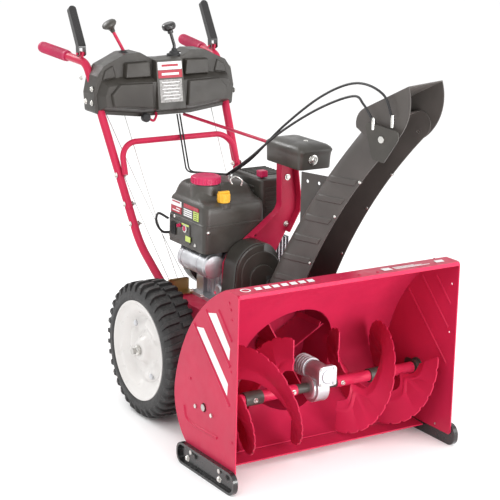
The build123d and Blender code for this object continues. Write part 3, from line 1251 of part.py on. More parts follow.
YOKE_HALF = 20
with BuildPart() as joystick_yoke:
    with Locations((STICK_X, STICK_Y, STICK_Z)):
        Box(2 * YOKE_HALF, 2 * YOKE_HALF, 8)
        Box(2 * YOKE_HALF - 8, 2 * YOKE_HALF - 8, 8, mode=Mode.SUBTRACT)
    with Locations(Location((STICK_X, STICK_Y, STICK_Z), (0, 90, 0))):
        Cylinder(2.5, 2 * YOKE_HALF - 2)
    for end in SIDES:
        with Locations(Location((STICK_X, STICK_Y + end * (YOKE_HALF + 4), STICK_Z), (90, 0, 0))):
            Cylinder(3, 10)
save(joystick_yoke.part, "joystick_yoke")

with BuildPart() as joystick:
    add(control_stick((STICK_X, STICK_Y, STICK_Z), (STICK_X, STICK_Y, 1020), (30, STICK_Y, 1080), 12))
    with Locations(Location((STICK_X, STICK_Y, STICK_Z), (0, 90, 0))):
        Cylinder(2.5 + RUNNING, 14, mode=Mode.SUBTRACT)
save(joystick.part, "joystick")

CABLE_R = 2.5
with BuildPart() as cable:
    for x in (-24, -14):
        add(tube(((x + 72, 400, 807), (x - 36, 150, 681), (x, -20, 702)), 60, CABLE_R, 0))
save(Compound(cable.part.solids()), "cables")
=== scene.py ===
import math

import bmesh
import bpy
from mathutils import Matrix, Vector
from mathutils.bvhtree import BVHTree


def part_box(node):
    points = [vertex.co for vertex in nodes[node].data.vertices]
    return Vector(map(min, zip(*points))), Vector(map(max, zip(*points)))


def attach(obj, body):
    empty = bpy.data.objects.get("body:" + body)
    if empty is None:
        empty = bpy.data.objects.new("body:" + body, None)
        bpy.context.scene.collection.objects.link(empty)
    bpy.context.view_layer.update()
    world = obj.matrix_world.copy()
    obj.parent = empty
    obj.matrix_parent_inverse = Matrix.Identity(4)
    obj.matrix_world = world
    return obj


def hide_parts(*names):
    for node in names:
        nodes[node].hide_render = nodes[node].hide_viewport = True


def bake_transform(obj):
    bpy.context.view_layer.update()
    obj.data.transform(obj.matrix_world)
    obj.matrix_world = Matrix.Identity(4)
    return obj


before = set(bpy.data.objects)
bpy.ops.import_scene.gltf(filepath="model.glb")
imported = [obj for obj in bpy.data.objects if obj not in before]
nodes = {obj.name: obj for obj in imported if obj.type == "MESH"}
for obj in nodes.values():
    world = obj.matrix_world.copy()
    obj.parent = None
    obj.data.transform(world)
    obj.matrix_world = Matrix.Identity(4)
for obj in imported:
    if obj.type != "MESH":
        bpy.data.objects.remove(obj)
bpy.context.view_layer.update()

MM = 0.001
SIDES = (-1, 1)
X, Y, Z = Vector((1, 0, 0)), Vector((0, 1, 0)), Vector((0, 0, 1))

MIDDLE_Y = 23.648    # the frame's origin is this far behind the axle


def P(x, y, z):
    """A point given in mm from the floor under the middle of the axle."""
    return Vector((x, y - MIDDLE_Y, z)) * MM


def node_box(name):
    """The box of a CAD node in the same mm as P."""
    low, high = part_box(name)
    shift = Vector((0, MIDDLE_Y, 0))
    return Vector(low) / MM + shift, Vector(high) / MM + shift


# ---------------------------------------------------------------- materials
def material(name, color, rough=0.4, metal=0.0, coat=0.0, spread=0.12, patch=9, grain=500, bump=0.04,
             rough_spread=0.08, edge=0.0, dust=0.0, stretch=None, gloss=0.5):
    """A surface whose colour, gloss and height vary; rounded edges and settled dust are optional."""
    m = bpy.data.materials.new(name)
    m.use_nodes = True
    tree = m.node_tree
    tree.nodes.clear()

    def node(kind, **values):
        n = tree.nodes.new(kind)
        for key, value in values.items():
            if key in n.inputs:
                n.inputs[key].default_value = value
            else:
                setattr(n, key, value)
        return n

    def noise(scale, detail, vector):
        n = node("ShaderNodeTexNoise", Scale=scale, Detail=detail)
        tree.links.new(vector, n.inputs["Vector"])
        return n.outputs["Fac"]

    def spread_to(fac, low, high, a=0.35, b=0.65):
        n = node("ShaderNodeMapRange")
        for key, value in zip(("From Min", "From Max", "To Min", "To Max"), (a, b, low, high)):
            n.inputs[key].default_value = value
        tree.links.new(fac, n.inputs["Value"])
        return n.outputs["Result"]

    def mix(fac, a, b):
        n = node("ShaderNodeMix", data_type="RGBA")
        tree.links.new(fac, n.inputs[0])
        for socket, value in ((n.inputs[6], a), (n.inputs[7], b)):
            if isinstance(value, tuple):
                socket.default_value = (*value, 1)
            else:
                tree.links.new(value, socket)
        return n.outputs[2]

    out = node("ShaderNodeOutputMaterial")
    bsdf = node("ShaderNodeBsdfPrincipled")
    bsdf.inputs["Metallic"].default_value = metal
    bsdf.inputs["Coat Weight"].default_value = coat
    bsdf.inputs["Specular IOR Level"].default_value = gloss
    bsdf.inputs["Coat Roughness"].default_value = 0.12
    tree.links.new(bsdf.outputs[0], out.inputs[0])
    coords = node("ShaderNodeTexCoord").outputs["Object"]
    if stretch:
        scaled = node("ShaderNodeMapping")
        scaled.inputs["Scale"].default_value = stretch
        tree.links.new(coords, scaled.inputs["Vector"])
        fine_coords = scaled.outputs[0]
    else:
        fine_coords = coords
    dark = tuple(c * (1 - spread) for c in color)
    light = tuple(min(1.0, c * (1 + spread)) for c in color)
    base = mix(spread_to(noise(patch, 4, coords), 0, 1), dark, light)
    smoothest = max(0.03, rough - rough_spread)
    rough_out = spread_to(noise(patch * 3.7, 5, coords), smoothest, rough + rough_spread)
    if dust:
        normal = node("ShaderNodeSeparateXYZ")
        tree.links.new(node("ShaderNodeNewGeometry").outputs["Normal"], normal.inputs[0])
        up = spread_to(normal.outputs["Z"], 0, dust, 0.2, 1.0)
        speck = spread_to(noise(patch * 6, 6, coords), 0, 1, 0.45, 0.7)
        times = node("ShaderNodeMath", operation="MULTIPLY")
        tree.links.new(up, times.inputs[0])
        tree.links.new(speck, times.inputs[1])
        base = mix(times.outputs[0], base, (0.45, 0.43, 0.4))
    tree.links.new(base, bsdf.inputs["Base Color"])
    tree.links.new(rough_out, bsdf.inputs["Roughness"])
    height = node("ShaderNodeBump", Strength=bump)
    height.inputs["Distance"].default_value = 0.0006
    tree.links.new(noise(grain, 3, fine_coords), height.inputs["Height"])
    if edge:
        round_edge = node("ShaderNodeBevel", samples=4)
        round_edge.inputs["Radius"].default_value = edge
        tree.links.new(round_edge.outputs[0], height.inputs["Normal"])
    tree.links.new(height.outputs[0], bsdf.inputs["Normal"])
    return m


RED = material("red_powder_coat", (0.48, 0.018, 0.062), 0.36, coat=0.04, spread=0.05, grain=260, bump=0.04,
               edge=0.0012, gloss=0.2)
RED_PLASTIC = material("red_plastic", (0.52, 0.016, 0.09), 0.38, spread=0.08, grain=900, bump=0.1,
                       edge=0.0006)
RED_GRIP = material("red_grip", (0.46, 0.02, 0.085), 0.55, spread=0.12, grain=700, bump=0.25, dust=0.1)
YELLOW = material("yellow_plastic", (0.85, 0.45, 0.03), 0.4, spread=0.08, grain=900, bump=0.1, edge=0.0006)
BLACK = material("black_plastic", (0.044, 0.040, 0.034), 0.38, spread=0.25, grain=1300, bump=0.16,
                 edge=0.0012)
DASH = material("dash_plastic", (0.034, 0.030, 0.025), 0.42, spread=0.16, grain=1400, bump=0.2, edge=0.0015,
                dust=0.04)
CHUTE = material("chute_plastic", (0.066, 0.058, 0.053), 0.44, spread=0.15, grain=1200, bump=0.18,
                 edge=0.0012, dust=0.05)
BLACK_STEEL = material("black_painted_steel", (0.010, 0.009, 0.009), 0.24, coat=0.35, spread=0.25, grain=320,
                       bump=0.05, edge=0.001)
WHITE = material("white_rim_paint", (0.66, 0.64, 0.62), 0.34, coat=0.2, spread=0.03, grain=260, bump=0.05,
                 edge=0.001, dust=0.05)
DECAL_WHITE = material("decal_white", (0.80, 0.80, 0.80), 0.35, spread=0.02, grain=600, bump=0.03)
DECAL_RED = material("decal_red", (0.38, 0.01, 0.03), 0.35, spread=0.05, grain=600, bump=0.03)
DECAL_LIME = material("decal_lime", (0.55, 0.68, 0.14), 0.38, spread=0.05, grain=600, bump=0.03)
DECAL_GREY = material("decal_grey", (0.30, 0.29, 0.28), 0.4, spread=0.35, patch=160, grain=600, bump=0.03)
ALU = material("cast_aluminium", (0.56, 0.57, 0.59), 0.42, metal=0.85, spread=0.1, patch=26, grain=380,
               bump=0.35, edge=0.001, dust=0.05)
ZINC = material("zinc_plate", (0.66, 0.65, 0.62), 0.28, metal=1.0, spread=0.1, patch=60, grain=700, bump=0.06,
                edge=0.0004)
SHAFT = material("turned_steel", (0.50, 0.49, 0.47), 0.3, metal=1.0, spread=0.12, grain=500, bump=0.1,
                 stretch=(1, 12, 12))
BRASS = material("bronze", (0.55, 0.40, 0.18), 0.35, metal=1.0, spread=0.12, grain=500, bump=0.08)
RUBBER = material("black_rubber", (0.020, 0.020, 0.021), 0.6, spread=0.25, grain=900, bump=0.2)
TYRE = material("tyre_rubber", (0.022, 0.021, 0.021), 0.55, spread=0.3, patch=30, grain=700, bump=0.3,
                dust=0.10)
CABLE = material("cable_jacket", (0.012, 0.012, 0.013), 0.35, spread=0.2, grain=900, bump=0.05)
DARK = material("dark_gap", (0.006, 0.006, 0.006), 0.7, spread=0.3, grain=500, bump=0.1)

PAINT = {
    RED: "housing_wrap shave_plate side_plate_left side_plate_right impeller_drum auger_rakes impeller "
         "chute_tower frame lower_handles upper_handles cross_brace chute_rod",
    BLACK_STEEL: "frame_cover skid_shoes impeller_pulley auger_lever drive_lever speed_lever joystick",
    ALU: "gearbox_case gearbox_cap crankcase cylinder_head starter_motor",
    ZINC: "housing_bolts shaft_bearings axle_gear hex_shaft friction_disc deflector_pins crankshaft",
    SHAFT: "auger_shaft impeller_shaft axle",
    BRASS: "worm_wheel",
    BLACK: "auger_bearings auger_spacers control_head pulley_cover belt_cover engine_shroud fuel_tank "
           "recoil_housing recoil_handle muffler_guard joystick_yoke",
    DASH: "dash_panel",
    CHUTE: "chute deflector",
    RED_PLASTIC: "fuel_cap choke_knob start_button",
    YELLOW: "oil_cap",
    RED_GRIP: "grips",
    RUBBER: "belts friction_wheel cables",
    WHITE: "wheel_rims",
    TYRE: "tyres",
}
for paint, names in PAINT.items():
    for name in names.split():
        node = nodes[name]
        for slot in node.material_slots:
            slot.link = "OBJECT"
            slot.material = paint


# ---------------------------------------------------------------- mesh helpers
def across(axis):
    """Two directions at right angles to the axis."""
    axis = axis.normalized()
    first = axis.cross(Z if abs(axis.z) < 0.9 else X).normalized()
    return first, axis.cross(first)


def add_rings(bm, rings, closed_ring=True, caps=True):
    """Skins a list of rings of points."""
    made = [[bm.verts.new(p) for p in ring] for ring in rings]
    count = len(rings[0])
    for low, high in zip(made, made[1:]):
        for i in range(count if closed_ring else count - 1):
            j = (i + 1) % count
            bm.faces.new((low[i], low[j], high[j], high[i]))
    if caps:
        bm.faces.new(made[0][::-1])
        bm.faces.new(made[-1])


def lathe(bm, origin, axis, profile, seg=48, caps=True):
    """Turns a profile of (distance along the axis, radius) in mm around the axis."""
    axis = axis.normalized()
    u, v = across(axis)
    rings = []
    for along, radius in profile:
        ring = []
        for i in range(seg):
            t = 2 * math.pi * i / seg
            ring.append(origin + (axis * along + (u * math.cos(t) + v * math.sin(t)) * radius) * MM)
        rings.append(ring)
    add_rings(bm, rings, caps=caps)


def prism(bm, origin, x_dir, y_dir, outline, depth, taper=0.0):
    """Extrudes an outline in mm by depth mm; taper pulls the far face in towards its middle by that share."""
    normal = x_dir.cross(y_dir).normalized()
    cx = sum(p[0] for p in outline) / len(outline)
    cy = sum(p[1] for p in outline) / len(outline)
    near = [origin + (x_dir * a + y_dir * b) * MM for a, b in outline]
    far = [origin + (x_dir * (a + (cx - a) * taper) + y_dir * (b + (cy - b) * taper) + normal * depth) * MM
           for a, b in outline]
    add_rings(bm, [near, far])


def block(bm, centre, size, turn=None):
    """A box with its size in mm."""
    half = Vector(size) * 0.5 * MM
    turn = turn or Matrix.Identity(3)
    rings = []
    for s in SIDES:
        rings.append([centre + turn @ Vector((a * half.x, b * half.y, s * half.z))
                      for a, b in ((-1, -1), (1, -1), (1, 1), (-1, 1))])
    add_rings(bm, rings)


def smooth_path(points, steps=10):
    """A smooth curve through the points."""
    pts = [points[0] * 2 - points[1]] + list(points) + [points[-1] * 2 - points[-2]]
    out = []
    for a, b, c, d in zip(pts, pts[1:], pts[2:], pts[3:]):
        for i in range(steps):
            t = i / steps
            out.append(0.5 * ((2 * b) + (c - a) * t + (2 * a - 5 * b + 4 * c - d) * t * t
                              + (3 * b - a - 3 * c + d) * t ** 3))
    out.append(points[-1])
    return out


def pipe(bm, points, radius, seg=12, flat=1.0):
    """A round bar in mm radius along the points; flat squashes it across its second direction."""
    tangents = [(b - a).normalized() for a, b in zip(points, points[1:])]
    tangents.append(tangents[-1])
    u, v = across(tangents[0])
    rings = []
    for i, (p, t) in enumerate(zip(points, tangents)):
        if i:
            middle = (tangents[i - 1] + t).normalized()
            u = (u - middle * u.dot(middle)).normalized()
            v = middle.cross(u)
        rings.append([p + (u * math.cos(a) + v * math.sin(a) * flat) * radius * MM
                      for a in (2 * math.pi * k / seg for k in range(seg))])
    add_rings(bm, rings)


def hex_head(bm, at, axis, r=7.0, h=5.0, washer=1.5):
    """A hexagon head on a washer, standing on a surface at the point."""
    if washer:
        lathe(bm, at, axis, [(0, r * 1.45), (washer - 0.4, r * 1.45), (washer, r * 1.38)], 24)
    lathe(bm, at + axis * washer * MM, axis, [(0, r), (h - 1, r), (h, r * 0.86)], 6)
    lathe(bm, at + axis * (washer + h) * MM, axis, [(-0.5, r * 0.55), (0.6, r * 0.42), (0.9, 0.6)], 12)


def pan_head(bm, at, axis, r=5.0, h=2.6):
    """A domed screw head."""
    lathe(bm, at, axis, [(0, r), (h * 0.4, r * 0.97), (h * 0.8, r * 0.75), (h, r * 0.4), (h, 0.3)], 20)


def piece(bm, name, mat, body="chassis", bevel=0.0, angle=35, replaces=()):
    """Turns a mesh under construction into a piece of the object; bevel is in mm and angle in degrees."""
    bmesh.ops.recalc_face_normals(bm, faces=bm.faces)
    mesh = bpy.data.meshes.new(name)
    bm.to_mesh(mesh)
    bm.free()
    for polygon in mesh.polygons:
        polygon.use_smooth = True
    mesh.set_sharp_from_angle(angle=math.radians(angle))
    obj = bpy.data.objects.new(name, mesh)
    bpy.context.scene.collection.objects.link(obj)
    obj.data.materials.append(mat)
    if bevel:
        mod = obj.modifiers.new("edges", "BEVEL")
        mod.width = bevel * MM
        mod.segments = 3
        mod.limit_method = "ANGLE"
        mod.angle_limit = math.radians(30)
        mod.harden_normals = True
    if body:
        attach(obj, body)
    if replaces:
        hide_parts(*replaces)
    return obj


def edge_finder(node):
    """A ray-casting tree over a CAD node."""
    mesh = node.data
    places = [v.co.copy() for v in mesh.vertices]
    return BVHTree.FromPolygons(places, [tuple(p.vertices) for p in mesh.polygons])


# ---------------------------------------------------------------- auger housing
PLATE_X = 358        # outer face of the side plates
strips = bmesh.new()
ribs = bmesh.new()
for side in SIDES:
    for outline in (((-488, 457), (-527, 466), (-598, 391), (-595, 358)),
                    ((-430, 403), (-465, 409), (-591, 293), (-588, 260))):
        face = [(y, z) if side > 0 else (-y, z) for y, z in outline]
        prism(strips, P(side * PLATE_X, 0, 0), Y * side, Z, face, 0.7)
    for line in (((-476, 462), (-600, 342)), ((-416, 408), (-600, 236)),
                 ((-367, 163), (-395, 126), (-542, 128)), ((-539, 478), (-606, 412))):
        pts = [P(side * (PLATE_X - 1), y, z) for y, z in line]
        pipe(ribs, smooth_path(pts, 8), 4.2, 12)
piece(strips, "reflective_strips", DECAL_WHITE)
piece(ribs, "side_plate_ribs", RED)

rivets = bmesh.new()
for side in SIDES:
    for y, z in ((-598, 494), (-590, 510), (-520, 520), (-616, 140), (-400, 250)):
        pan_head(rivets, P(side * (PLATE_X + 0.3), y, z), X * side, 4.2, 1.8)
for x in (-90, -30, 30, 90):
    pan_head(rivets, P(x, -614, 540.5), Z, 4, 1.6)
piece(rivets, "housing_rivets", RED)

marks = bmesh.new()
TOP_Z = 541.2
for k in range(7):
    x = -292 + k * 27
    prism(marks, P(0, 0, TOP_Z), X, Y, [(x, -613), (x + 19, -613), (x + 24, -592), (x + 5, -592)], 0.5)
lathe(marks, P(-318, -602, TOP_Z), Z, [(0, 14), (0.5, 14), (0.5, 10.5), (0, 10.5)], 40, caps=False)
for k in range(3):
    line_end, line_y = 265 - 22 * k, -616 + 7 * k
    prism(marks, P(0, 0, TOP_Z), X, Y,
          [(150, line_y), (line_end, line_y), (line_end, line_y + 2.5), (150, line_y + 2.5)], 0.5)
prism(marks, P(0, 0, TOP_Z), X, Y, [(112, -616), (140, -616), (140, -596), (112, -596)], 0.5)
prism(marks, P(0, 0, TOP_Z), X, Y, [(290, -614), (318, -614), (322, -596), (294, -596)], 0.5)
piece(marks, "top_marks", DECAL_WHITE)

skid_marks = bmesh.new()
for side in SIDES:
    for y in (-585, -420):
        hex_head(skid_marks, P(side * 374.5, y, 31), X * side, 6.2, 4.4)
piece(skid_marks, "skid_bolt_heads", ZINC)

# ---------------------------------------------------------------- wheels and tyres
WHEEL_OUT, WHEEL_IN, TYRE_R, RIM_R = 307, 192, 202, 145
CROWN_R = TYRE_R - 9
TREAD_BARS = 36


def tyre_profile():
    """Cross-section of the casing as (x, radius), from the outer bead over the tread to the inner bead."""
    return [(WHEEL_OUT - 12, RIM_R - 2), (WHEEL_OUT - 5, RIM_R + 2), (WHEEL_OUT - 1.5, RIM_R + 10),
            (WHEEL_OUT - 1, 162), (WHEEL_OUT - 3, 174), (WHEEL_OUT - 9, 185), (WHEEL_OUT - 20, CROWN_R - 1.5),
            ((WHEEL_OUT + WHEEL_IN) / 2, CROWN_R + 0.5), (WHEEL_IN + 20, CROWN_R - 1.5), (WHEEL_IN + 9, 185),
            (WHEEL_IN + 3, 174), (WHEEL_IN + 1, 162), (WHEEL_IN + 1.5, RIM_R + 10), (WHEEL_IN + 5, RIM_R + 2),
            (WHEEL_IN + 12, RIM_R - 2)]


def tread_bar(bm, side, angle, outer):
    """One bar from the middle of the tread over the shoulder and down the side wall."""
    middle = (WHEEL_OUT + WHEEL_IN) / 2
    run = [(middle + 3, CROWN_R - 2, TYRE_R - 1), (middle + 24, CROWN_R - 2, TYRE_R - 1),
           (WHEEL_OUT - 16, CROWN_R - 5, TYRE_R - 2), (WHEEL_OUT - 7, 183, 193), (WHEEL_OUT - 3, 172, 176)]
    rings = []
    for k, (x, r_low, r_high) in enumerate(run):
        if not outer:
            x = 2 * middle - x
        out = 0 if k < 3 else (0.8 if k == 3 else 0.9)
        sweep = angle + (0.018 if outer else -0.018) * (k * 0.9)
        half_low, half_high = 0.047 - 0.002 * k, 0.037 - 0.002 * k
        ring = []
        for r, half in ((r_low, half_low), (r_high, half_high)):
            shift = out * (2.6 if r == r_high else 0) * (1 if outer else -1)
            for s in ((-1, 1) if r == r_low else (1, -1)):
                a = sweep + s * half
                ring.append(P(side * (x + shift), r * math.cos(a), TYRE_R + r * math.sin(a)))
        rings.append(ring)
    add_rings(bm, rings)


tyres = bmesh.new()
bars = bmesh.new()
for side in SIDES:
    rings = []
    profile = tyre_profile()
    smooth = smooth_path([Vector((x, r, 0)) for x, r in profile], 4)
    for p in smooth:
        rings.append([P(side * p.x, p.y * math.cos(t), TYRE_R + p.y * math.sin(t))
                      for t in (2 * math.pi * k / 120 for k in range(120))])
    add_rings(tyres, rings, caps=False)
    for k in range(TREAD_BARS):
        for outer in (True, False):
            tread_bar(bars, side, 2 * math.pi * (k + (0 if outer else 0.5)) / TREAD_BARS, outer)
piece(tyres, "tyre_casings", TYRE, "wheels", angle=50, replaces=("tyres",))
piece(bars, "tyre_tread", TYRE, "wheels", bevel=1.4)


def rim_height(r, t):
    """Depth of the dished disc below the rim's edge at a radius and angle."""
    points = ((20, 6), (30, 10), (44, 30), (58, 38), (96, 38), (110, 24), (120, 15), (132, 13), (140, 6))
    depth = points[-1][1]
    for (r0, d0), (r1, d1) in zip(points, points[1:]):
        if r0 <= r <= r1:
            s = (r - r0) / (r1 - r0)
            s = s * s * (3 - 2 * s)
            depth = d0 + (d1 - d0) * s
            break
    if r < 20:
        depth = 8
    swell = math.exp(-((r - 78) / 22) ** 2)
    lobe = 0.5 + 0.5 * math.tanh(4 * math.cos(3 * t))
    return depth - 15 * swell * lobe


rims = bmesh.new()
for side in SIDES:
    rings = []
    radii = [10, 14, 19, 23, 28, 33, 38, 44, 50, 56, 62, 68, 74, 80, 86, 92, 98, 104, 110, 115, 120, 126, 132,
             137, 140]
    for r in radii:
        rings.append([P(side * (WHEEL_OUT - rim_height(r, t)), r * math.cos(t), TYRE_R + r * math.sin(t))
                      for t in (2 * math.pi * k / 144 for k in range(144))])
    for x, r in ((4, 142), (2, 145), (2.5, 147.5), (5, 148), (9, 146.5), (14, 139), (60, 137), (100, 139),
                 (108, 146.5), (111, 148)):
        rings.append([P(side * (WHEEL_OUT - x), r * math.cos(t), TYRE_R + r * math.sin(t))
                      for t in (2 * math.pi * k / 144 for k in range(144))])
    add_rings(rims, rings, caps=False)
    back = []
    for x, r in ((111, 148), (104, 143), (96, 132), (60, 130), (40, 120), (44, 60), (60, 30), (100, 20),
                 (100, 10)):
        back.append([P(side * (WHEEL_OUT - x), r * math.cos(t), TYRE_R + r * math.sin(t))
                     for t in (2 * math.pi * k / 144 for k in range(144))])
    add_rings(rims, back, caps=False)
piece(rims, "wheel_discs", WHITE, "wheels", angle=50, replaces=("wheel_rims",))

hubs = bmesh.new()
valves = bmesh.new()
for side in SIDES:
    axis = X * side
    hub = P(side * (WHEEL_OUT - 6), 0, TYRE_R)
    lathe(hubs, hub, axis, [(0, 15), (8, 15), (10, 13), (12, 10), (12, 0.5)], 32)
    pin_x = side * (WHEEL_OUT + 3)
    pipe(hubs, [P(pin_x, -20, TYRE_R + 3), P(pin_x, 20, TYRE_R - 2)], 2.4, 10)
    clip = [P(pin_x, 20, TYRE_R - 2), P(pin_x, 27, TYRE_R + 4), P(pin_x, 20, TYRE_R + 9)]
    pipe(hubs, smooth_path(clip, 6), 1.4, 8)
    for t in (0.95, 0.95 + math.pi):
        at = P(side * (WHEEL_OUT - 26), 84 * math.cos(t), TYRE_R + 84 * math.sin(t))
        lathe(valves, at, axis, [(0, 9), (5, 8.5), (7, 6), (7, 0.5)], 24)
piece(hubs, "hub_pins", ZINC, "wheels")
piece(valves, "wheel_plugs", ALU, "wheels")

# ---------------------------------------------------------------- auger
AUGER_Y, AUGER_Z, AUGER_R = -472, 190, 150
AUGER_IN, AUGER_OUT, AUGER_PITCH, RIBBON_IN = 66, 335, 300, 56
WOUND = AUGER_OUT - AUGER_IN - 20


def auger_point(side, r, t, along):
    """A point of the auger from its radius, angle and distance along the shaft from the rake's inner end."""
    return P(side * (AUGER_IN + along), AUGER_Y + r * math.sin(t), AUGER_Z - side * r * math.cos(t))


rakes = bmesh.new()
for side in SIDES:
    lathe(rakes, P(side * AUGER_IN, AUGER_Y, AUGER_Z), X * side,
          [(0, 9.7), (0, 15), (1, 16), (AUGER_OUT - AUGER_IN - 1, 16), (AUGER_OUT - AUGER_IN, 15),
           (AUGER_OUT - AUGER_IN, 9.7)], 40, caps=False)
    for phase in (0, math.pi):
        rings = []
        steps = 180
        for k in range(steps + 1):
            share = k / steps
            along = 10 + WOUND * share
            t = phase - side * 2 * math.pi * (along - 10) / AUGER_PITCH
            outer = AUGER_R - 0.5 - (4.0 if k % 9 < 2 else 0)
            arm = max(math.exp(-((share - at) / 0.055) ** 2) for at in (0.16, 0.84))
            inner = RIBBON_IN - (RIBBON_IN - 15.5) * arm
            ring = []
            for r, lift in ((inner, -2), (inner + 18, -2), (inner + 24, -4.5), (inner + 32, -4.5),
                            (inner + 38, -2), (outer - 2, -2), (outer, 0), (outer - 2, 2), (inner + 38, 2),
                            (inner + 32, -0.5),
                            (inner + 24, -0.5), (inner + 18, 2), (inner, 2)):
                ring.append(auger_point(side, r, t, along + lift))
            rings.append(ring)
        add_rings(rakes, rings)
piece(rakes, "auger_ribbons", RED, "auger", bevel=0.9, angle=40, replaces=("auger_rakes",))

pins = bmesh.new()
for side in SIDES:
    for x in (82, 208):
        for s in SIDES:
            proud = 16.5 if x < 100 else 20.5
            hex_head(pins, P(side * x, AUGER_Y - proud * s, AUGER_Z), -Y * s, 5, 5)
piece(pins, "shear_pins", ZINC, "auger")

gearbox = bmesh.new()
for s in SIDES:
    for dz in (-17, 17):
        hex_head(gearbox, P(21 * s, AUGER_Y + 12, 214 + dz * 1.2), X * s, 5, 4)
    lathe(gearbox, P(20 * s, AUGER_Y, AUGER_Z), X * s, [(0, 34), (5, 33), (8, 28), (8, 18)], 40)
for k in range(5):
    lathe(gearbox, P(0, AUGER_Y + 20 + 11 * k, 235), Y, [(0, 30), (1, 31), (4, 31), (5, 30)], 36)
piece(gearbox, "gearbox_ribs", ALU, bevel=0.8)

# ---------------------------------------------------------------- chute
YAW = math.radians(18)
CHUTE_AXIS = P(60, -260, 0)
THROW = Vector((math.sin(YAW), -math.cos(YAW), 0))
ACROSS = Vector((math.cos(YAW), math.sin(YAW), 0))


def chute_at(u, side, z):
    """A point in the chute's own directions: u along the throw, side across it, z up."""
    return CHUTE_AXIS + (THROW * u + ACROSS * side) * MM + Z * z * MM


chute_tree = edge_finder(nodes["chute"])
BAND_Z, BAND_HIGH, BAND_PROUD, BAND_STEPS = (452, 514, 576, 638, 700, 758), 20, 3.4, 16


def chute_side(side, z):
    """One side of the chute at a height: (along the throw, across it) from the back to the front."""
    hits = []
    for u in range(-60, 420, 2):
        hit, _, _, distance = chute_tree.ray_cast(chute_at(u, side * 200, z), ACROSS * -side)
        if hit and distance < 0.135:
            hits.append((u, (hit - CHUTE_AXIS).dot(ACROSS) / MM))
    return hits[2:-6]


chute_ribs = bmesh.new()
for side in SIDES:
    for z in BAND_Z:
        low, high = chute_side(side, z), chute_side(side, z + BAND_HIGH)
        rings = []
        for k in range(BAND_STEPS + 1):
            (u0, face0), (u1, face1) = (edge[k * (len(edge) - 1) // BAND_STEPS] for edge in (low, high))
            lean = (u1 - u0) * 3 / BAND_HIGH
            rings.append([chute_at(u0, face0 - side * 0.5, z),
                          chute_at(u0 + lean, face0 + side * BAND_PROUD, z + 3),
                          chute_at(u1 - lean, face1 + side * BAND_PROUD, z + BAND_HIGH - 3),
                          chute_at(u1, face1 - side * 0.5, z + BAND_HIGH)])
        add_rings(chute_ribs, rings)
piece(chute_ribs, "chute_ribs", CHUTE, "chute_body", bevel=1.2)

chute_rivets = bmesh.new()
for u, z in ((92, 438), (128, 520), (208, 665), (286, 772)):
    for side in SIDES:
        hit = chute_tree.ray_cast(chute_at(u - 14, side * 20, z), ACROSS * side)[0]
        if hit:
            pan_head(chute_rivets, hit - ACROSS * side * 0.2 * MM, -ACROSS * side, 4.4, 2.2)
            pan_head(chute_rivets, hit + ACROSS * side * 4 * MM, ACROSS * side, 4.4, 2.2)
piece(chute_rivets, "chute_rivets", ZINC, "chute_body")

bolts = bmesh.new()
for side in SIDES:
    hex_head(bolts, chute_at(352, side * 92, 902), ACROSS * side, 7, 5)
piece(bolts, "deflector_pivot_bolts", ZINC, "chute_body")

# ---------------------------------------------------------------- control head, tower, belt cover
def rounded_ring(left, right, front, back, r, z, seg=10):
    """A rectangle with round corners at a height; the four sides are given in mm."""
    points = []
    for x, y, start in ((right - r, back - r, 0), (left + r, back - r, 90), (left + r, front + r, 180),
                        (right - r, front + r, 270)):
        for k in range(seg + 1):
            t = math.radians(start + 90 * k / seg)
            points.append(P(x + r * math.cos(t), y + r * math.sin(t), z))
    return points


head = bmesh.new()
levels = ((757, 3, 3, 3, 3, 12), (760, 1, 1, 1, 1, 14), (792, 0, 0, -1, 0, 15), (803, -1, -1, -4, 0, 16),
          (807, -3, -3, -6, -2, 17), (811, -3, -3, -6, -2, 17), (817, 0, 0, -2, 1, 17), (823, 7, 7, 7, 9, 17),
          (827, 18, 18, 20, 22, 16), (829, 32, 32, 36, 40, 12))
add_rings(head, [rounded_ring(48 + a, 158 - b, -292 + c, -110 - d, r, z) for z, a, b, c, d, r in levels])
piece(head, "head_cover", BLACK, angle=40, replaces=("control_head",))
head_screws = bmesh.new()
lathe(head_screws, P(92, -292.5, 786), -Y, [(0, 15), (2, 15), (3, 13.5), (3, 1)], 28)
hex_head(head_screws, P(92, -295, 786), -Y, 7.5, 4)
pan_head(head_screws, P(104, -236, 828.5), Z, 7, 3)
for z in (700, 560):
    hex_head(head_screws, P(124, -118.5, z), -Y, 6.5, 4.5)
piece(head_screws, "head_screws", ZINC)

arches = bmesh.new()


def arch(half, top, low, depth_y, thick):
    """A raised panel with a round top on the front of the belt cover."""
    outline = [(-half - 2, low)]
    for k in range(13):
        t = math.pi * (1 - k / 12)
        outline.append((half * math.cos(t) - 4, top - half * 0.9 + half * 0.9 * math.sin(t)))
    outline += [(half - 6, 434), (12, 434), (12, low)]
    prism(arches, P(0, depth_y, 0), X, Z, outline, thick, taper=0.03)


arch(66, 508, 345, -184, 4)
arch(40, 470, 345, -188, 7)
piece(arches, "belt_cover_arches", BLACK, bevel=1.5)

# ---------------------------------------------------------------- engine
screws = bmesh.new()
for at, axis in ((P(-137, -112, 560), -Y), (P(30, -112, 520), -Y), (P(-150, 60, 575), -X),
                 (P(-150, -60, 512), -X), (P(-150, 86, 512), -X)):
    pan_head(screws, at, axis, 5.5, 3)
for a in (0.5, 0.5 + math.pi):
    pan_head(screws, P(-112 + 21 * math.cos(a), -105.2, 455 + 21 * math.sin(a)), -Y, 4.6, 3)
for x, z in ((-48, 474), (52, 474), (-48, 372), (40, 356)):
    hex_head(screws, P(x, -115, z), -Y, 6, 5)
for y, z in ((-90, 352), (-20, 350), (40, 352)):
    hex_head(screws, P(-98, y, z - 7), Z, 6, 4)
piece(screws, "engine_screws", ZINC)

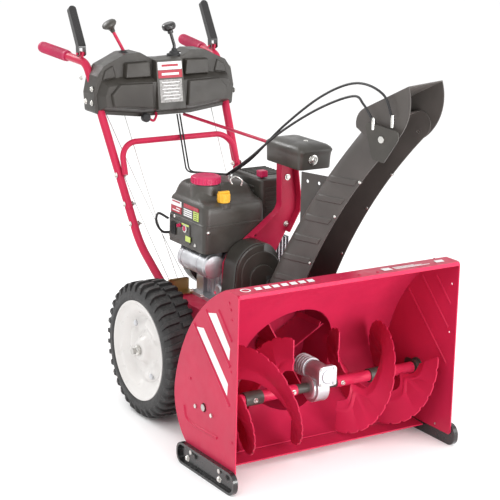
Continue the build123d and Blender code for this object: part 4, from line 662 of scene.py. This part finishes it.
casting = bmesh.new()
for k in range(5):
    block(casting, P(-66, -92 + 30 * k, 396), (9, 4, 96))
lathe(casting, P(-62, -72, 372), -X, [(0, 22), (14, 20), (18, 14), (18, 1)], 32)
lathe(casting, P(-62, 16, 430), -X, [(0, 26), (8, 25), (12, 20), (12, 1)], 32)
block(casting, P(-70, 30, 372), (18, 40, 54))
for x in (-40, 30):
    block(casting, P(x, -112, 392), (10, 12, 100))
lathe(casting, P(0, -114, 446), -Y, [(0, 50), (2, 50), (3, 46), (3, 20)], 48)
piece(casting, "crankcase_casting", ALU, bevel=1.6)

starter = bmesh.new()
lathe(starter, P(-112, -96, 455), -Y, [(-4, 37.5), (3, 37.5), (5, 35), (12, 33), (14, 29), (14, 1)], 48)
lathe(starter, P(-112, -60, 455), -Y, [(-3, 37.3), (3, 37.3)], 48)
lathe(starter, P(-112, 30, 455), -Y, [(-4, 37.6), (4, 37.6)], 48)
lathe(starter, P(-84, -40, 484), -Y, [(-34, 17), (36, 17), (40, 13), (40, 1)], 36)
piece(starter, "starter_rings", ALU, bevel=0.8)

panel = bmesh.new()
prism(panel, P(-150, 0, 0), -Y, Z, [(-88, 508), (34, 508), (34, 567), (-88, 567)], 3, taper=0.04)
piece(panel, "switch_panel", BLACK, bevel=1.2)
socket = bmesh.new()
block(socket, P(-154, 58, 540), (6, 26, 36))
for z in (531, 541, 551):
    block(socket, P(-157.6, 58, z), (1.6, 14, 4))
piece(socket, "power_socket", DARK, bevel=1)
ring = bmesh.new()
lathe(ring, P(-153, -6, 552), -X, [(0, 12), (2, 12), (3, 10.4), (3, 8.6), (0, 8.6)], 32, caps=False)
piece(ring, "button_ring", ZINC)
key = bmesh.new()
lathe(key, P(-153, 22, 556), -X, [(0, 6), (4, 6), (5, 4), (5, 1)], 20)
block(key, P(-160, 22, 556), (10, 3, 9))
piece(key, "ignition_key", RED_PLASTIC, bevel=1)


def sticker(name, place, colour):
    bm = bmesh.new()
    for at, size in place:
        block(bm, at, size)
    piece(bm, name, colour)


sticker("sticker_panel", [(P(-153.4, -24, 524), (1, 28, 16)), (P(-153.4, -8, 563), (1, 40, 5))], DECAL_LIME)
TANK_X = -149.6
sticker("sticker_white", [(P(TANK_X, 52, 616), (1, 60, 17))], DECAL_WHITE)
sticker("sticker_red", [(P(TANK_X, 52, 597), (1, 60, 20)), (P(TANK_X, -34, 619), (1, 84, 11)),
                        (P(TANK_X - 0.6, 52, 620), (0.8, 44, 4))], DECAL_RED)
sticker("sticker_lime", [(P(TANK_X, -62, 599), (1, 28, 26))], DECAL_LIME)
sticker("sticker_lines", [(P(TANK_X, -16, 608 - 6 * k), (1, 48, 3.6)) for k in range(4)]
        + [(P(TANK_X - 0.6, 52, 594), (0.8, 40, 3)), (P(TANK_X - 0.6, 40, 601), (0.8, 22, 3))], DECAL_WHITE)
sticker("sticker_print", [(P(TANK_X - 0.6, -62, 608 - 6 * k), (0.8, 18, 1.8)) for k in range(4)], DARK)


tank = bmesh.new()
levels = ((571, 3, 3, 3, 3, 18), (572.5, 0, 0, 0, 0, 20), (578, 0, 0, 0, 0, 20), (580, 2, 2, 2, 2, 19),
          (610, 2, 2, 2, 2, 20), (627, 3, 3, 3, 3, 20), (633, 6, 5, 6, 5, 20), (638, 10, 7, 14, 8, 21),
          (642, 12, 8, 30, 9, 22), (646, 13.5, 9, 42, 10, 22), (654, 15.5, 11, 50, 12, 23),
           (665, 19, 15, 56, 16, 23), (674, 24, 20, 61, 21, 23), (680, 31, 27, 67, 28, 22),
           (683, 38, 34, 73, 35, 20), (684, 46, 42, 80, 43, 17))
add_rings(tank, [rounded_ring(-151 + a, 57 - b, -113 + c, 101 - d, r, z) for z, a, b, c, d, r in levels])
lathe(tank, P(-92, -18, 640), Z, [(0, 46), (36, 45.5), (42, 44), (44.5, 41), (44.5, 1)], 56)
lathe(tank, P(-76, -92, 625), Z, [(0, 22), (12, 22), (14.5, 20.5), (15, 18), (15, 1)], 36)
for x in (-118, -60, 0):
    lathe(tank, P(x, 104, 600), -Z, [(0, 7), (26, 7)], 20)
piece(tank, "tank_shell", BLACK, angle=28, replaces=("fuel_tank",))

cap = bmesh.new()
for k in range(28):
    t = 2 * math.pi * k / 28
    block(cap, P(-92 + 41.6 * math.cos(t), -18 + 41.6 * math.sin(t), 695), (5, 3.6, 17),
          Matrix.Rotation(t, 3, "Z"))
lathe(cap, P(-92, -18, 703), Z, [(0, 36), (3, 35), (5, 30), (5, 27), (3.4, 25), (3.4, 1)], 48)
piece(cap, "fuel_cap_ribs", RED_PLASTIC, "fuel_cap_body", bevel=1.2)

oil = bmesh.new()
for k in range(14):
    t = 2 * math.pi * k / 14
    at = P(-76 + 17.6 * math.cos(t), -92 + 17.6 * math.sin(t), 654)
    block(oil, at, (3, 3.4, 22), Matrix.Rotation(t, 3, "Z"))
block(oil, P(-76, -92, 668), (34, 11, 9))
piece(oil, "oil_cap_grip", YELLOW, "oil_cap_body", bevel=1.4)

guard = bmesh.new()
low, high = node_box("muffler_guard")
for k in range(6):
    z = 590 + 14 * k
    block(guard, P(low.x - 0.5, 20, z), (3, 110, 6))
    block(guard, P((low.x + high.x) / 2, low.y - 0.5, z), (90, 3, 6))
for k in range(7):
    block(guard, P(132, -13 + 16 * k, 689), (92, 5, 3))
piece(guard, "muffler_guard_louvres", BLACK, bevel=1)

wires = bmesh.new()
pipe(wires, smooth_path([P(-150, 96, 560), P(-176, 112, 575), P(-182, 112, 548), P(-165, 108, 520),
                         P(-140, 104, 515)], 8), 6, 12, flat=0.6)
piece(wires, "recoil_strap", RUBBER)
guide = bmesh.new()
pipe(guide, smooth_path([P(-34, -118, 690), P(-34, -122, 706), P(-52, -116, 718), P(-72, -122, 712),
                         P(-70, -128, 700), P(-40, -60, 702), P(10, -6, 712), P(30, 7, 716),
                         P(44, 6, 708)], 8), 2.2)
piece(guide, "wire_guide", ZINC)

# ---------------------------------------------------------------- handles and frame
fixings = bmesh.new()
for side in SIDES:
    for y, z in ((257, 575), (297, 657), (226, 520)):
        x = 199.5 + (z - 560) * 0.078
        hex_head(fixings, P(side * (x + 12), y, z), X * side, 6, 4.5)
        pipe(fixings, [P(side * (x - 12), y, z), P(side * (x - 24), y - 4, z)], 3.4, 10)
        hex_head(fixings, P(side * (x - 14), y - 1, z), -X * side, 6, 4.5)
    for y, z in ((30, 325), (64, 316), (-20, 325)):
        hex_head(fixings, P(side * 160.2, y, z - 12), X * side, 6, 4.5)
    for y, z in ((414, 868), (444, 936)):
        hex_head(fixings, P(side * 262, y, z), X * side, 6, 4)
piece(fixings, "handle_fixings", ZINC)

bracket = bmesh.new()
block(bracket, P(-120, 86, 350), (70, 4, 46))
block(bracket, P(-120, 64, 338), (70, 46, 4))
for x in (-140, -100):
    hex_head(bracket, P(x, 88, 356), Y, 5, 4)
pipe(bracket, [P(-150, 86, 372), P(-90, 86, 372)], 4, 12)
piece(bracket, "cable_bracket", BRASS, bevel=1)

thin = bmesh.new()
for a, b in ((P(-226, 410, 850), P(-150, 90, 372)), (P(-140, 400, 826), P(-120, 92, 372)),
             (P(170, 400, 826), P(120, 60, 372)), (P(-200, 405, 830), P(-96, 92, 372))):
    middle = (a + b) / 2 - Z * 0.012
    pipe(thin, smooth_path([a, middle, b], 10), 1.1, 8)
piece(thin, "clutch_wires", SHAFT)

hook = bmesh.new()
lathe(hook, P(-81, 366, 812), -Y, [(-8, 14), (6, 14), (10, 10), (10, 1)], 28)
piece(hook, "headlamp_plug", RUBBER, bevel=0.8)
loop = bmesh.new()
pipe(loop, smooth_path([P(-66, 372, 806), P(-52, 370, 800), P(-40, 376, 812), P(-36, 385, 822)], 8), 4)
piece(loop, "rod_hook", RED)

# ---------------------------------------------------------------- grips
grips = bmesh.new()
start, end = P(-232, 472, 976), P(-256, 729, 993)
run = (end - start).normalized()
for side in SIDES:
    for k in range(30):
        at = start + run * (0.118 + 0.0046 * k)
        at = Vector((at.x * -side, at.y, at.z))
        axis = Vector((run.x * -side, run.y, run.z))
        lathe(grips, at, axis, [(-1.2, 17), (-0.6, 18), (0.6, 18), (1.2, 17)], 40, caps=False)
piece(grips, "grip_rings", RED_GRIP)

# ---------------------------------------------------------------- dash
DASH_Y, NOSE_Y = 390.5, 360.5
dash = bmesh.new()


def mirrored(points, side):
    """An outline drawn for the left half, turned over for the other half."""
    return [(side * x, z) for x, z in points][::side]


for side in SIDES:
    for y, outline, depth, taper in (
            (NOSE_Y, [(56, 840), (198, 853), (206, 892), (176, 923), (60, 921)], 11, 0.07),
            (DASH_Y, [(56, 934), (150, 934), (146, 982), (62, 984)], 19, 0.1),
            (DASH_Y, [(170, 936), (222, 930), (212, 962), (182, 978)], 6, 0.2)):
        prism(dash, P(0, y, 0), X, Z, mirrored(outline, side), depth, taper=taper)
piece(dash, "dash_mouldings", DASH, bevel=3)

PLATE_FOOT_Y, PLATE_FOOT_Z, PLATE_SLOPE = 344, 836, 24 / 150
PLATE_TILT = Matrix.Rotation(-math.atan(PLATE_SLOPE), 3, "X")


def on_plate(z, proud=0.0):
    """A point on the middle line of the tilted centre plate."""
    return P(0, PLATE_FOOT_Y + (z - PLATE_FOOT_Z) * PLATE_SLOPE - proud, z)


plate = bmesh.new()
add_rings(plate, [[P(-51, 384, 832), P(51, 384, 832), P(49, 404, 990), P(-49, 404, 990)],
                  [P(-48, 344, 836), P(48, 344, 836), P(46, 368, 986), P(-46, 368, 986)]])
piece(plate, "dash_centre_plate", BLACK, bevel=1.5)


def plate_label(name, rows, colour):
    """Flat labels on the centre plate: height of the middle, width, height, how far they stand out."""
    bm = bmesh.new()
    for z, width, height, proud in rows:
        block(bm, on_plate(z, proud), (width, 1, height), PLATE_TILT)
    piece(bm, name, colour)


plate_label("dash_label_white", [(968, 84, 24, 0.3)], DECAL_WHITE)
plate_label("dash_label_red", [(943, 84, 24, 0.3), (969, 58, 7, 1.0)], DECAL_RED)
plate_label("dash_label_chart", [(892, 78, 70, 0.3)], DECAL_GREY)
chart_lines = [(918 - 10 * k, 62 - 10 * (k % 2), 2.4, 1.0) for k in range(6)]
plate_label("dash_label_lines", [(943, 60, 7, 1.0)] + chart_lines, DECAL_WHITE)
dash_bolts = bmesh.new()
for side in SIDES:
    for y, z in ((392, 862), (392, 905)):
        hex_head(dash_bolts, P(side * 245.5, y + 14, z), X * side, 6, 3.5)
piece(dash_bolts, "dash_bolts", ZINC)


def knob(bm, at, axis):
    """A mushroom knob with its middle at the point."""
    lathe(bm, at, axis, [(-26, 6.6), (-18, 8), (-11, 12.5), (-6, 20), (-1, 23.4), (5, 22.6), (9, 18),
                         (11.4, 10), (12, 1)], 40)


speed_end = P(-174, 430, 1094)
speed_rod = bmesh.new()
pipe(speed_rod, smooth_path([P(-128, 426, 954), P(-128, 426, 990), P(-128, 426, 1010), P(-133, 426.4, 1022),
                             P(-150, 428, 1052), speed_end], 8), 5, 16)
lathe(speed_rod, P(-135, 426, 958), X, [(0, 8), (14, 8)], 24)
piece(speed_rod, "speed_rod", RED, "speed_stick", replaces=("speed_lever",))
speed_knob = bmesh.new()
knob(speed_knob, speed_end, speed_end - P(-128, 426, 1014))
piece(speed_knob, "speed_knob", BLACK, "speed_stick")

boots = bmesh.new()
lathe(boots, P(50, 426, 986), Z, [(0, 24), (8, 23), (10, 16), (16, 14), (18, 9), (24, 8), (26, 5.4)], 32,
      caps=False)
lathe(boots, P(-128, 426, 1000), Z, [(0, 16), (8, 15), (10, 10), (14, 9), (15, 5.4)], 32, caps=False)
piece(boots, "lever_boots", RUBBER)

# ---------------------------------------------------------------- cables
def cable_end(k):
    """Where one of the two deflector cables meets the pulley cover."""
    return chute_at(322 + 60 * k, -96, 946 + 14 * k)


high_cables = bmesh.new()
for k, (x, rise) in enumerate(((-24, 0), (-14, 34))):
    end = cable_end(k)
    path = [P(x, -20, 702), P(x + 18, -110, 764), P(x + 40, -240, 862 + rise * 0.5),
            P(x + 62, -390, 950 + rise), P(x + 86, -510, 1000 + rise),
            end + Vector((-8, 34, 40 + rise * 0.6)) * MM, end]
    pipe(high_cables, smooth_path(path, 12), 3.4, 12)
piece(high_cables, "deflector_cables", CABLE, None)
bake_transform(bpy.data.objects["deflector_cables"])

ferrules = bmesh.new()
for k in range(2):
    lathe(ferrules, cable_end(k), Z, [(-22, 4), (-4, 4.6), (2, 4.6), (10, 3.6)], 16)
piece(ferrules, "cable_ends", ZINC, "chute_body")

# ---------------------------------------------------------------- studio
floor = bmesh.new()
FLOOR_HALF = 14      # m
corners = ((-1, -1), (1, -1), (1, 1), (-1, 1))
floor.faces.new([floor.verts.new((FLOOR_HALF * x, FLOOR_HALF * y, 0)) for x, y in corners])
floor_mesh = bpy.data.meshes.new("floor")
floor.to_mesh(floor_mesh)
floor.free()
floor_obj = bpy.data.objects.new("floor", floor_mesh)
bpy.context.scene.collection.objects.link(floor_obj)
floor_mat = bpy.data.materials.new("pale_floor")
floor_mat.use_nodes = True
shade = floor_mat.node_tree.nodes["Principled BSDF"]
shade.inputs["Base Color"].default_value = (1, 1, 1, 1)
shade.inputs["Roughness"].default_value = 0.8
floor_obj.data.materials.append(floor_mat)

world = bpy.data.worlds.new("studio")
bpy.context.scene.world = world
world.use_nodes = True
world.node_tree.nodes["Background"].inputs[0].default_value = (1, 1, 1, 1)
world.node_tree.nodes["Background"].inputs[1].default_value = 1.02


def area(name, place, target, size, power):
    light = bpy.data.lights.new(name, "AREA")
    light.shape = "RECTANGLE"
    light.size, light.size_y = size
    light.energy = power
    obj = bpy.data.objects.new(name, light)
    obj.location = place
    obj.rotation_euler = (Vector(target) - Vector(place)).to_track_quat("-Z", "Y").to_euler()
    bpy.context.scene.collection.objects.link(obj)


area("key_light", (-2.4, -2.4, 3.2), (0, -0.1, 0.4), (1.6, 1.6), 34)
area("fill_light", (2.8, -3.0, 1.8), (0, -0.3, 0.4), (1.6, 2.2), 30)
area("front_light", (0.5, -3.4, 0.8), (0, -0.4, 0.3), (2.4, 1.2), 95)
area("back_light", (-1.2, 3.0, 2.8), (0, 0, 0.6), (2.2, 1.0), 60)

camera = bpy.data.cameras.new("camera")
camera_obj = bpy.data.objects.new("camera", camera)
bpy.context.scene.collection.objects.link(camera_obj)
azimuth, elevation, roll = math.radians(-32.427), math.radians(14.702), math.radians(1.298)
behind = Vector((math.sin(azimuth) * math.cos(elevation), -math.cos(azimuth) * math.cos(elevation),
                 math.sin(elevation)))
right = Z.cross(behind).normalized()
up = behind.cross(right)
turned_right = right * math.cos(roll) + up * math.sin(roll)
turned_up = up * math.cos(roll) - right * math.sin(roll)
camera_obj.matrix_world = Matrix((
    (turned_right.x, turned_up.x, behind.x, -2.4025),
    (turned_right.y, turned_up.y, behind.y, -3.8980 - MIDDLE_Y * MM),
    (turned_right.z, turned_up.z, behind.z, 1.6768),
    (0, 0, 0, 1)))
camera.sensor_width = 36
camera.lens = 115.002
camera.shift_x = 0.001
camera.shift_y = -0.0042
camera.clip_end = 60
bpy.context.scene.camera = camera_obj
bpy.context.scene.view_settings.view_transform = "Standard"
bpy.context.scene.view_settings.look = "None"
